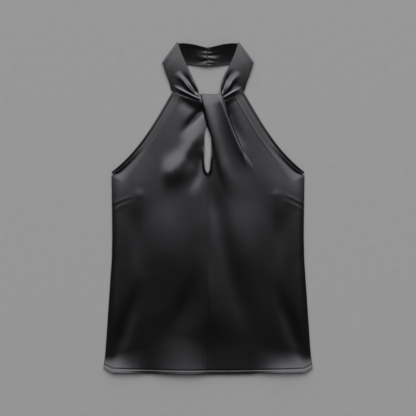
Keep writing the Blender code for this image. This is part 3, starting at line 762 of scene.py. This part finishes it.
def from_edge(flat):
    """Distance of each point to the side seam or the armhole, whichever is nearer."""
    edge = armhole(np.linspace(0, 1, ARMHOLE_POINTS), BINDING_WIDTH)
    points = np.stack([np.abs(flat[..., 0]), flat[..., 1]], axis=-1)
    return np.minimum(distance_to(points, edge), half_width(flat[..., 1]) - points[..., 0])


def armhole_lip(y):
    """How far the bound edge stands up near the underarm, where it is pulled tight."""
    rise = smoothstep((y - UNDERARM_Y - 1) / ARMHOLE_LIP_RISE)
    return ARMHOLE_LIP * rise * smoothstep((ARMHOLE_LIP_TO - y) / ARMHOLE_LIP_FADE)


def hem_curl(x, above_hem):
    """Height of the hem's curl: a power of how near the point is to the hem, by its reach."""
    height, reach = (table_curve(x, HEM_CURLS, "x", column) for column in ("height", "reach"))
    return height * np.clip(1 - above_hem / reach, 0, 1) ** CURL_POWER


def front_limits(flat):
    """Wall thickness, and least height of the inner face above the back or the table."""
    x, y = flat[..., 0], flat[..., 1]
    above_hem = y - HEM_Y - hem_rise(x)
    thickness = np.where(above_hem < HEM_TURN, HEM_THICK, CLOTH)
    over_back = smoothstep((back_top(x) + FLOOR_EASE_TO - y) / FLOOR_EASE)
    lowest = FREE_FLOOR + (CLOTH + SEAM_GAP - FREE_FLOOR) * over_back
    lowest += (HEM_THICK - CLOTH) * smoothstep((HEM_TURN + HEM_EASE_TO - above_hem) / HEM_EASE)
    return thickness, lowest


# %% The height of a front
EDGE_HEIGHT = 2.8
SIDE_ROLL = 30
ARMHOLE_ROLL = 22
ROLL_EASE = 30
SEAM_SLOPE = {-1: 1, 1: 0.5}
FOLD_STOP = 0.3
FACING_EDGE = 15.5
FACING_EDGE_HEIGHT = {-1: 0.036, 1: 0.12}
FACING_EDGE_WIDTH = 2.2
FACING_FROM = 20
CENTRE_CURL = 0.35
CENTRE_CURL_WIDTH = 2.2
CENTRE_CURL_FADE = 8
SLIT_CURL = 2.6
SLIT_CURL_WIDTH = 3.4
SLIT_CURL_TO = 140
SLIT_CURL_FADE = 36
HEM_GROOVE = 0.45
HEM_GROOVE_WIDTH = 1.1
SOFT_FLOOR = 0.5
THINNEST = 0.4


def bell(distance, width):
    """1 on a line, falling off to both sides as exp(-(distance / width)^2)."""
    return np.exp(-(distance / width) ** 2)


def front_height(flat, panel, places):
    """Height of a front's outer face, the sum of what shapes it.

    edge height + loft * roll at the edges + hem curl, eased to the collar seam's height as a
    share of the last section, + folds * roll + sewing + lip * (1 - distance / lip width)^2
    along the armhole + the facing's faint ridge - the centre seam's groove + the slit's curled
    edge - the hem's stitched groove. Last, a soft floor: (z + sqrt(z^2 + soft^2)) / 2, with z
    measured from the least height, keeps the wall above what lies under it.
    """
    x, y = flat[..., 0], flat[..., 1]
    below_seam = (places[-1] - places)[:, None]
    in_yoke = smoothstep((y - UNDERARM_Y + ROLL_EASE) / (2 * ROLL_EASE))
    roll = SIDE_ROLL + (ARMHOLE_ROLL - SIDE_ROLL) * in_yoke
    inside = from_edge(flat)
    rise = 1 - (1 - np.clip(inside / roll, 0, 1)) ** 2
    above_hem = y - HEM_Y - hem_rise(x)
    z = EDGE_HEIGHT + table_curve(y, LOFTS, "y", "loft") * rise + hem_curl(x, above_hem)
    start, end = COLLAR_SEAM[panel]
    share = np.linalg.norm(flat[-1] - start * (panel, 1), axis=1) / np.linalg.norm(end - start)
    near_seam = np.clip(1 - below_seam / SEAM_SLOPE[panel], 0, 1) ** 2
    sewn = np.arange(flat.shape[1]) <= (SIDE_COLUMNS if panel > 0 else flat.shape[1])
    z += (seam_height(panel, share) - z) * near_seam * sewn
    at_seam = smoothstep(1 - below_seam / FOLD_STOP) * sewn
    z += fold_relief(x, y, FOLDS, panel) * rise * (1 - at_seam)
    z += fold_relief(x, y, SEWING, panel)
    z += armhole_lip(y) * (1 - np.clip(inside / ARMHOLE_LIP_WIDTH, 0, 1)) ** 2
    facing = bell(inside - FACING_EDGE, FACING_EDGE_WIDTH)
    z += FACING_EDGE_HEIGHT[panel] * facing * smoothstep((y - UNDERARM_Y - FACING_FROM) / FACING_FROM)
    at_centre = bell(x - flat[:, -1:, 0], CENTRE_CURL_WIDTH)
    z -= CENTRE_CURL * at_centre * smoothstep((SLIT_FOOT_Y - y) / CENTRE_CURL_FADE)
    slit = flat[flat[:, -1, 1] > SLIT_FOOT_Y, -1]
    at_slit = 1 - smoothstep((y - SLIT_CURL_TO + SLIT_CURL_FADE) / SLIT_CURL_FADE)
    z += SLIT_CURL * bell(distance_to(flat, slit), SLIT_CURL_WIDTH) * at_slit
    z -= HEM_GROOVE * bell(above_hem - HEM_TURN, HEM_GROOVE_WIDTH)
    floor = front_limits(flat)[1] + THINNEST
    return floor + (z - floor + np.sqrt((z - floor) ** 2 + SOFT_FLOOR ** 2)) / 2


# %% The right front
right_face = np.dstack([right_flat, front_height(right_flat, -1, places)])
mesh = cloth_wall("front_cloth_right", right_face, *front_limits(right_flat))
front_right = add_piece("front_cloth_right", mesh, "satin", "front_right")
print("right front, greatest height (mm):", right_face[..., 2].max().round(2))

# %% [markdown]
# ## The crossing band
#
# At the neck the two fronts are hooked through each other and each returns to its own side. What
# shows is the left front's upper part. It stands up as a band, crosses over the gathers of the
# right front, folds over at the top edge of the knot and disappears beneath. On the grid this is
# an extra lift of the inner columns, and then a few more rows that roll over a round edge and
# come back along the table.

# %% The left front with its band
BAND_TOP_LEFT = np.array([-18.2, 248])
BAND_TOP_RIGHT = np.array([27.4, 249.4])
BAND_LIFT = 3.8
BAND_LIFT_FROM = 70
BAND_LIFT_TO = 226
BAND_EDGE_DROP = 1.4
BAND_EDGE_WIDTH = 4
BAND_FOLD_SHARE = 0.4
BAND_FOLD_WIDTH = 5
BAND_WALL_POWER = 0.8
BAND_CREST_FALL = 2
RETURN_LENGTH = 12
TOP_ROWS = 15
ROLL_ROWS = 25
RETURN_ROWS = 7


def band_edge_drop(band):
    """How far the band's long edges curl down: fully on the left, less on the right."""
    to_left = np.linalg.norm(band - band[:, -1:], axis=-1)
    to_right = np.linalg.norm(band - band[:, :1], axis=-1)
    curl = 1 - smoothstep(to_left / BAND_EDGE_WIDTH)
    curl += BAND_FOLD_SHARE * (1 - smoothstep(to_right / BAND_FOLD_WIDTH))
    return BAND_EDGE_DROP * curl


def left_front_face(flat):
    """Grid of the left front's outer face and of the squares that are cloth.

    band height = front height + lift * S-shaped step up the band - the edges' curl
    wall        = foot + (edge - foot) * sin(quarter turn)^power
    top         = a parabola that falls to a half circle, and a level run back under the band
    """
    z = front_height(flat, 1, places)
    crest = SIDE_COLUMNS + WALL_COLUMNS
    band = flat[:, crest:]
    lift = BAND_LIFT * smoothstep((band[..., 1] - BAND_LIFT_FROM) / (BAND_LIFT_TO - BAND_LIFT_FROM))
    drop = lift / BAND_LIFT * band_edge_drop(band)
    z[:, crest:] += lift - drop
    foot, top = z[:, SIDE_COLUMNS:SIDE_COLUMNS + 1].copy(), z[:, crest:crest + 1].copy()
    climb = np.linspace(0, 1, WALL_COLUMNS + 1)
    z[:, SIDE_COLUMNS:crest + 1] = foot + (top - foot) * np.sin(climb * math.pi / 2) ** BAND_WALL_POWER

    across = np.linspace(0, 1, CENTRE_COLUMNS + 1)[:, None]
    top_line = BAND_TOP_RIGHT + across * (BAND_TOP_LEFT - BAND_TOP_RIGHT)
    radius = (z[-1, crest:] - BAND_CREST_FALL) / 2
    extra = []
    for share in np.linspace(0, 1, TOP_ROWS)[1:-1]:
        height = z[-1, crest:] - BAND_CREST_FALL * share ** 2
        extra.append(np.column_stack([band[-1] + share * (top_line - band[-1]), height]))
    for angle in np.radians(np.linspace(90, -90, ROLL_ROWS)):
        roll = top_line + np.column_stack([0 * radius, radius * math.cos(angle)])
        extra.append(np.column_stack([roll, radius * (1 + math.sin(angle))]))
    for share in np.linspace(0, 1, RETURN_ROWS)[1:]:
        extra.append(np.column_stack([top_line - (0, share * RETURN_LENGTH), 0 * radius]))

    rows, columns = z.shape
    face = np.zeros((rows + len(extra), columns, 3))
    face[:rows] = np.dstack([flat, z])
    face[rows:, crest:] = extra
    cells = np.ones((len(face) - 1, columns - 1), bool)
    cells[rows - 1:, :crest] = False
    return face, cells


left_face, left_cells = left_front_face(left_flat)
thickness, lowest = front_limits(left_face)
thickness[FRONT_ROWS:], lowest[FRONT_ROWS:] = CLOTH, 0
mesh = cloth_wall("front_cloth_left", left_face[:, ::-1], thickness[:, ::-1], lowest[:, ::-1],
                  left_cells[:, ::-1])
front_left = add_piece("front_cloth_left", mesh, "satin", "front_left")
print("left front, greatest height (mm):", left_face[..., 2].max().round(2))

# %% [markdown]
# ## The collar
#
# The collar is a strap of doubled satin in two halves. Each half starts at the centre back, runs
# out to the side of the neck, folds over on itself there, and comes forward to the knot, where
# it is gathered into pleats. It is drawn as two edges with a height, station by station: a flat
# run for the back, a half circle for the fold, and a run that climbs to the knot.

# %% The collar's stations
Station = namedtuple("Station", "name upper_x upper_y lower_x lower_y")
JOIN_X = -1.1
JOIN_HALF_GAP = 0.3
JOIN_REACH = 30
COLLAR_BACK = [
    Station("join", 0, 352.7, 0, 313.5),
    Station("gathers", 7, 354.2, 8, 313.7),
    Station("gathers end", 15, 356, 17, 314.3),
    Station("middle back", 30.8, 359.8, 36, 316),
    Station("side back", 49, 362.4, 64, 318),
]
SIDE_FOLD = Station("side fold", 68.6, 365, 101.2, 321.6)
FOLD_RADIUS = 3.2

# The front of each half. From the neck point on, the lower edge follows the collar seam: a
# share of that seam. The two sides differ a little, as they do on a garment laid by hand
FrontStation = namedtuple("FrontStation", "name right_x right_y left_x left_y lower_x lower_y")
COLLAR_FRONT = [
    FrontStation("side front", 60, 344, 61, 345, 95, 304),
    FrontStation("upper front", 50.5, 322, 52, 323.5, 88.6, 286.4),
    FrontStation("middle front", 42, 303.5, 43, 305.5, 83.6, 272),
]
Pleated = namedtuple("Pleated", "name height right_x right_y right_share left_x left_y left_share")
COLLAR_PLEATED = [
    Pleated("neck point", 6.8, 34.5, 287.5, 0, 35, 290, 0),
    Pleated("pleats", 7.4, 29.5, 276.5, 0.22, 31.4, 279, 0.28),
    Pleated("pleats middle", 7.8, 25.5, 267.5, 0.46, 29.4, 269, 0.52),
    Pleated("pleats end", 7.6, 22.2, 259.5, 0.70, 28.8, 259, 0.76),
    Pleated("knot", 6.4, 18.8, 250, 0.88, 28.9, 249.8, 0.96),
    Pleated("tucked", 5.2, 10, 243.5, 1, 18, 244.5, 1.32),
]
COLLAR_OVER_SEAM = 1
OVER_SEAM_BY = 0.2
COLLAR_LAP = 0.5
COLLAR_CROWN = 0.4

# The pleats that run into the knot, and the small gathers at the strap's join behind the neck
COLLAR_FOLDS = [
    Fold("inner trough", -1, -55, 302, -39, 275, -22, 247, 5.5, 3.5, -2.2, 0.5, 0.2),
    Fold("upper pleat", -1, -66, 302, -51, 277, -20, 245, 6.5, 2.8, 2, 0.45, 0.2, 0.35),
    Fold("lower pleat", -1, -80, 272, -52, 256, -17, 239, 4.5, 2.5, 1.6, 0.5, 0.1, 0.4),
    Fold("inner trough", 1, 56, 308, 39.5, 279, 30, 249, 5.5, 3.5, -2.2, 0.5, 0.2),
    Fold("upper pleat", 1, 66, 302, 52, 277, 30, 247, 6.5, 2.8, 2, 0.45, 0.2, -0.35),
    Fold("lower pleat", 1, 78, 268, 53, 254, 33, 242, 4.5, 2.5, 1.6, 0.5, 0.1, -0.4),
]
GATHER_FOLDS = [
    Fold("top", 1, 0, 349, 5, 350, 14, 354, 0.9, 2, 0.13, 0.1, 0.8),
    Fold("upper hollow", 1, 0, 345, 9, 345, 34, 350, 1.4, 5, -0.28, 0.25, 0.6),
    Fold("upper", 1, 0, 341, 4, 341, 12, 342, 0.9, 2, 0.12, 0.1, 0.8),
    Fold("middle hollow", 1, 0, 335, 12, 336, 46, 343, 1.6, 7, -0.45, 0.2, 0.6),
    Fold("middle", 1, 0, 331, 8, 330, 42, 324, 1.6, 7, 0.45, 0.25, 0.6),
    Fold("low hollow", 1, 0, 326, 5, 326, 12, 324, 0.9, 2, -0.13, 0.1, 0.8),
    Fold("low", 1, 0, 321, 10, 320, 34, 319, 1.4, 4.5, 0.28, 0.25, 0.6),
    Fold("last hollow", 1, 0, 317, 4, 317, 10, 316, 0.8, 2, -0.12, 0.1, 0.8),
    Fold("top", -1, -2, 350, -6, 351, -16, 355, 0.9, 2, 0.12, 0.1, 0.8),
    Fold("upper hollow", -1, -2, 346, -13, 347, -48, 353, 1.6, 7, -0.45, 0.2, 0.6),
    Fold("upper", -1, -2, 340, -5, 340, -12, 341, 0.9, 2, 0.13, 0.1, 0.8),
    Fold("middle hollow", -1, -2, 337, -7, 336, -18, 337, 1, 3, -0.13, 0.1, 0.8),
    Fold("middle", -1, -2, 331, -11, 331, -46, 337, 1.6, 7, 0.42, 0.25, 0.6),
    Fold("low hollow", -1, -2, 325, -9, 323, -34, 320, 1.4, 5, -0.32, 0.25, 0.6),
    Fold("low", -1, -2, 320, -5, 319, -12, 318, 0.8, 2, 0.12, 0.1, 0.8),
]
CLOSURE_LIFT = 5.6
Tilt = namedtuple("Tilt", "name x upper lower")
BACK_TILTS = [
    Tilt("join", 0, 8, 5.6),
    Tilt("gathers end", 18, 8.4, 3.8),
    Tilt("middle back", 36, 8.2, 1.8),
    Tilt("side back", 56, 6.6, 0.5),
    Tilt("side fold", 80, 0, 0),
]
TILT_POWER = 1.5
CROWN_FROM = 1.5
PLEATS_FROM = 0.5
PLEATS_EASE = 2
PLEAT_EDGES = 0.5
STRAP_THINNING = 0.6
THINNING_FROM = 1
THINNING_EASE = 8
GATHER_DEEPEST = 0.9
COLLAR_ROWS = 200
COLLAR_COLUMNS = 84
BACK_ROWS = 56
FOLD_ROWS = 24


# %% The collar's surface
def collar_lines(panel):
    """Upper and lower edge of one half with their heights, in three runs: back, fold, front."""
    normal = np.array([SIDE_FOLD.upper_y - SIDE_FOLD.lower_y, SIDE_FOLD.lower_x - SIDE_FOLD.upper_x])
    normal = normal / np.linalg.norm(normal)
    shift = abs(JOIN_X + panel * JOIN_HALF_GAP) * (1 if panel * JOIN_X > 0 else -1)
    back = []
    for s in COLLAR_BACK + [SIDE_FOLD]:
        near_join = shift * (1 - smoothstep(s.upper_x / JOIN_REACH))
        back.append((s.upper_x + near_join, s.upper_y, 0, s.lower_x + near_join, s.lower_y, 0))
    angle = np.radians(np.linspace(-90, 90, FOLD_ROWS + 1))[1:-1]
    out = FOLD_RADIUS * (np.cos(angle) - 1)
    height = FOLD_RADIUS * (1 + np.sin(angle))
    middle = np.column_stack([
        SIDE_FOLD.upper_x + out * normal[0], SIDE_FOLD.upper_y + out * normal[1], height,
        SIDE_FOLD.lower_x + out * normal[0], SIDE_FOLD.lower_y + out * normal[1], height])
    back = np.array(back)
    back[-1, [0, 3]] -= FOLD_RADIUS * normal[0]
    back[-1, [1, 4]] -= FOLD_RADIUS * normal[1]
    top = 2 * FOLD_RADIUS
    front = [(*back[-1, :2], top, *back[-1, 3:5], top)]
    fall = np.linspace(1, 0, len(COLLAR_FRONT) + 2)[1:]
    for s, share in zip(COLLAR_FRONT, fall):
        upper = of_side(s, panel, "x", "y")
        height = SEAM_HEIGHTS[0].right + share * (top - SEAM_HEIGHTS[0].right)
        front.append((*upper, top, s.lower_x, s.lower_y, height))
    start, end = COLLAR_SEAM[panel]
    up = np.array([start[1] - end[1], end[0] - start[0]])
    up = up / np.linalg.norm(up) * COLLAR_LAP
    for s in COLLAR_PLEATED:
        *upper, share = of_side(s, panel, "x", "y", "share")
        over = COLLAR_OVER_SEAM * smoothstep(share / OVER_SEAM_BY)
        seam = over + float(seam_height(panel, share))
        front.append((*upper, s.height, *(start + share * (end - start) + up), seam))
    return back, middle, np.array(front)


def collar_face(panel):
    """Grid of one half's outer face, and its wall thickness.

    front = edges joined straight across + crown * sin(pi width) + pleats * sin(pi width)^power
    back  = lower edge's height + (1 - width)^power * (upper - lower)
    wall  = strap, thinned towards the knot, + the gathers on the side that shows
    """
    back, middle, front = collar_lines(panel)
    front_rows = COLLAR_ROWS - BACK_ROWS - len(middle)
    back_run = smooth_line(back, np.linspace(0, len(back) - 1, BACK_ROWS))
    on_front = np.linspace(0, len(front) - 1, front_rows)
    lines = np.concatenate([back_run, middle, smooth_line(front, on_front)])
    width = np.linspace(0, 1, COLLAR_COLUMNS + 1)
    face = lines[:, None, :3] + width[:, None] * (lines[:, None, 3:] - lines[:, None, :3])
    face[..., 0] *= panel
    x, y = face[..., 0], face[..., 1]
    on_back = (np.arange(len(lines)) < BACK_ROWS)[:, None]
    along = np.concatenate([np.zeros(BACK_ROWS + len(middle)), on_front])[:, None]
    upper, lower = (table_curve(np.abs(x), BACK_TILTS, "x", column) for column in ("upper", "lower"))
    tilted = lower + (1 - width) ** TILT_POWER * (upper - lower)
    face[:BACK_ROWS, :, 2] = tilted[:BACK_ROWS]
    bow = np.sin(np.pi * width)
    crown = COLLAR_CROWN * bow * smoothstep(along / CROWN_FROM)
    pleats = fold_relief(x, y, COLLAR_FOLDS, panel) * smoothstep((along - PLEATS_FROM) / PLEATS_EASE)
    face[..., 2] += crown + pleats * bow ** PLEAT_EDGES
    gathers = fold_relief(x, y, GATHER_FOLDS, panel) * on_back
    thinned = STRAP_THINNING * smoothstep((along - THINNING_FROM) / THINNING_EASE)
    return face, STRAP - thinned + np.maximum(gathers, -GATHER_DEEPEST)


for panel, side in SIDES:
    face, thickness = collar_face(panel)
    if panel > 0:
        face, thickness = face[:, ::-1], thickness[:, ::-1]
    name = f"collar_cloth_{side}"
    piece = add_piece(name, cloth_wall(name, face, thickness), "satin_collar", f"collar_{side}")
    print(name, "height (mm):", face[..., 2].max().round(2))

# %% [markdown]
# ## The bound armholes
#
# A narrow bias strip is folded over the raw edge of each armhole and stitched down. It is a
# flattened round profile carried along the armhole's curve. At the underarm the strip is pulled
# tight and its outer edge stands up, which turns its face away from the lamp and makes it black.

# %% The bindings
# The strip's profile, the tilt of its outer edge, and where along the armhole it ends
BINDING_MIDDLE = 1.15
BINDING_HALF = 1.05
BINDING_SQUARE = 0.35
BINDING_TILT_LOW = 2.4
BINDING_TILT_HIGH = 0.2
BINDING_TILT_TO = 0.7
BINDING_END = 0.985
BINDING_RINGS = 170
BINDING_ROUND = 28


def full_turn(count):
    """Angles of a full turn, without the repeated last one."""
    return np.linspace(0, 2 * math.pi, count, endpoint=False)


def squared(wave):
    """A sine or cosine pushed out towards -1 and 1, which turns a circle into a soft square."""
    return np.sign(wave) * np.abs(wave) ** BINDING_SQUARE


def binding_rings(panel):
    """Rings of the strip: a soft square profile, its outer edge lifted by tilt * (1 - inset)."""
    share = np.linspace(0, BINDING_END, BINDING_RINGS)
    turn = full_turn(BINDING_ROUND)
    inset = BINDING_WIDTH / 2 * (1 + squared(np.cos(turn)))
    lift = BINDING_MIDDLE + BINDING_HALF * squared(np.sin(turn))
    fall = smoothstep(share / BINDING_TILT_TO)
    tilt = BINDING_TILT_LOW + (BINDING_TILT_HIGH - BINDING_TILT_LOW) * fall
    plane = np.stack([armhole(share, value) for value in inset], axis=1)
    height = lift + tilt[:, None] * (1 - inset / BINDING_WIDTH)
    height = np.maximum(height, 0) + armhole_lip(plane[..., 1]) * (height > 0)
    rings = np.dstack([plane * (panel, 1), height])
    return rings[:, ::-1] if panel > 0 else rings


for panel, side in SIDES:
    name = f"binding_{side}"
    add_piece(name, tube_mesh(name, binding_rings(panel)), "satin_binding", f"armhole_binding_{side}")

# %% [markdown]
# ## Sheets
#
# The fronts and the back are sheets of cloth.

# %% [markdown]
# ## Covered buttons and their loops
#
# Behind the neck two small covered buttons hold the strap together. They lie under it, on the
# table. A button is a turned profile, and a loop is a thin round tube along a hairpin.

# %% The buttons and loops
BUTTON_X = 4.4
BUTTON_YS = (342, 324)
BUTTON_GATHERS = 9
BUTTON_GATHER_DEPTH = 0.02
BUTTON_RIM = 1.8
BUTTON_RIM_EASE = 1.2
BUTTON_RINGS = 44
BUTTON_ROUND = 40
SHANK_RADIUS = 1.1
LOOP_WIRE = 0.7
LOOP_RADIUS = 2.3
LOOP_LEG = 4.6
LOOP_BOW_STEPS = 25
LOOP_LEG_STEPS = 8
LOOP_ROUND = 12
ButtonStep = namedtuple("ButtonStep", "radius height")
BUTTON_PROFILE = [ButtonStep(*step) for step in (
    (0.3, 0), (1.6, 0.05), (2.9, 0.25), (3.9, 0.75), (4.45, 1.5), (4.4, 2.1), (3.9, 2.75),
    (2.9, 3.2), (1.6, 3.4), (SHANK_RADIUS, 3.7), (SHANK_RADIUS, 5.2))]


def button_rings(x, y):
    """Rings of the turned profile about a vertical axis at x, y, its back rippled by gathers."""
    places = np.linspace(0, len(BUTTON_PROFILE) - 1, BUTTON_RINGS)
    radius, height = smooth_line(BUTTON_PROFILE, places).T
    turn = full_turn(BUTTON_ROUND)
    behind = smoothstep((height[:, None] - BUTTON_RIM) / BUTTON_RIM_EASE)
    reach = radius[:, None] * (1 + BUTTON_GATHER_DEPTH * np.sin(BUTTON_GATHERS * turn) * behind)
    return np.dstack([x + reach * np.cos(turn), y + reach * np.sin(turn),
                      np.broadcast_to(height[:, None], reach.shape)])


def loop_rings(y):
    """Rings of a round tube along a hairpin: leg, half circle round the shank, leg."""
    bow = np.linspace(math.pi / 2, -math.pi / 2, LOOP_BOW_STEPS)
    legs = np.linspace(JOIN_X - LOOP_LEG, BUTTON_X, LOOP_LEG_STEPS)[:-1]
    line_x = np.concatenate([legs, BUTTON_X + LOOP_RADIUS * np.cos(bow), legs[::-1]])
    line_y = np.concatenate([0 * legs + LOOP_RADIUS, LOOP_RADIUS * np.sin(bow), 0 * legs - LOOP_RADIUS])
    run = np.gradient(np.column_stack([line_x, line_y]), axis=0)
    run /= np.linalg.norm(run, axis=1)[:, None]
    turn = full_turn(LOOP_ROUND)
    level = CLOSURE_LIFT - SEAM_GAP - LOOP_WIRE
    return np.dstack([line_x[:, None] - run[:, 1:] * LOOP_WIRE * np.cos(turn),
                      y + line_y[:, None] + run[:, :1] * LOOP_WIRE * np.cos(turn),
                      level + LOOP_WIRE * np.broadcast_to(np.sin(turn), (len(line_x), len(turn)))])


for number, y in enumerate(BUTTON_YS, start=1):
    name = f"covered_button_{number}"
    add_piece(name, tube_mesh(name, button_rings(BUTTON_X, y)), "satin_button", f"button_{number}")
    name = f"rouleau_loop_{number}"
    add_piece(name, tube_mesh(name, loop_rings(y)), "satin_button", f"button_loop_{number}")

# %% [markdown]
# ## The table and the light
#
# Black satin needs something to reflect. A lamp bank above the garment, on the side of its neck,
# gives the cloth its grey, which fades towards the hem because the hem mirrors the dark end of
# the room, and it draws the bright flanks of the folds. A wide low lamp from the same side throws
# the soft shadow below the hem. A weak one beyond the hem is for a viewer behind the neck, who
# would see plain black without it. The lamps are flat rectangles, and the satin mirrors them.

# %% The table
TABLE_HALF = 8000
TABLE_LEVEL = -0.05
TABLE_DARK = (0.355, 0.355, 0.357)
TABLE_LIGHT = (0.387, 0.387, 0.389)
TABLE_DRIFT = 60


def table_finish():
    """Pale matt table with a faint grain."""
    material, tree, shader, place = new_material("table")
    shader.inputs["Roughness"].default_value = 0.9
    shader.inputs["Specular IOR Level"].default_value = 0.1
    mix_tones(tree, shader, use_effect(tree, DRIFT, place, Size=TABLE_DRIFT), TABLE_DARK, TABLE_LIGHT)
    return material


corners = np.array([(-1, -1), (1, -1), (1, 1), (-1, 1)]) * TABLE_HALF
mesh = quad_mesh("table", np.column_stack([corners, np.full(4, TABLE_LEVEL)]), np.array([[0, 1, 2, 3]]))
mesh.materials.append(table_finish())
table = bpy.data.objects.new("table", mesh)
bpy.context.collection.objects.link(table)

# %% The lamps
Lamp = namedtuple("Lamp", "name wide tall polar distance radiance")
LAMPS = [
    Lamp("bank behind the neck", 38, 24, 34.6, 24, 2),
    Lamp("low window", 48, 32, 60, 32, 1.5),
    Lamp("fill beyond the hem", 48, 20, -66, 32, 0.45),
]


def add_lamp(lamp):
    """Area lamp that faces the garment, its polar angle from overhead towards the neck."""
    data = bpy.data.lights.new(lamp.name, "AREA")
    data.shape = "RECTANGLE"
    data.size, data.size_y = lamp.wide, lamp.tall
    data.energy = lamp.radiance * lamp.wide * lamp.tall * math.pi
    tilt = math.radians(lamp.polar)
    holder = bpy.data.objects.new(lamp.name, data)
    holder.location = (0, lamp.distance * math.sin(tilt), lamp.distance * math.cos(tilt))
    holder.rotation_euler = (-tilt, 0, 0)
    bpy.context.collection.objects.link(holder)


for lamp in LAMPS:
    add_lamp(lamp)

ROOM_LIGHT = 0.012
ROOM_SEEN = 0.30
world = bpy.data.worlds.new("studio")
bpy.context.scene.world = world
world.use_nodes = True
room = world.node_tree.nodes["Background"]
room.inputs["Color"].default_value = (1, 1, 1, 1)
path = world.node_tree.nodes.new("ShaderNodeLightPath")
strength = world.node_tree.nodes.new("ShaderNodeMapRange")
strength.inputs["To Min"].default_value = ROOM_LIGHT
strength.inputs["To Max"].default_value = ROOM_SEEN
world.node_tree.links.new(path.outputs["Is Camera Ray"], strength.inputs["Value"])
world.node_tree.links.new(strength.outputs["Result"], room.inputs["Strength"])

# %% [markdown]
# ## The camera
#
# The camera hangs straight above the garment, square to the table, with a lens of 85 mm on a
# 36 mm sensor. The frame shows 0.915 m of the table.

# %% The camera and the last lines
FRAME_WIDTH = 0.9152
LENS = 85
SENSOR = 36
GARMENT_LEVEL = 0.006
CENTRE_Y = 0.0004
camera = bpy.data.objects.new("camera", bpy.data.cameras.new("camera"))
camera.data.lens = LENS
camera.data.sensor_width = SENSOR
camera.location = (0, CENTRE_Y, GARMENT_LEVEL + FRAME_WIDTH * LENS / SENSOR)
bpy.context.collection.objects.link(camera)
bpy.context.scene.camera = camera
bpy.context.scene.view_settings.view_transform = "Standard"
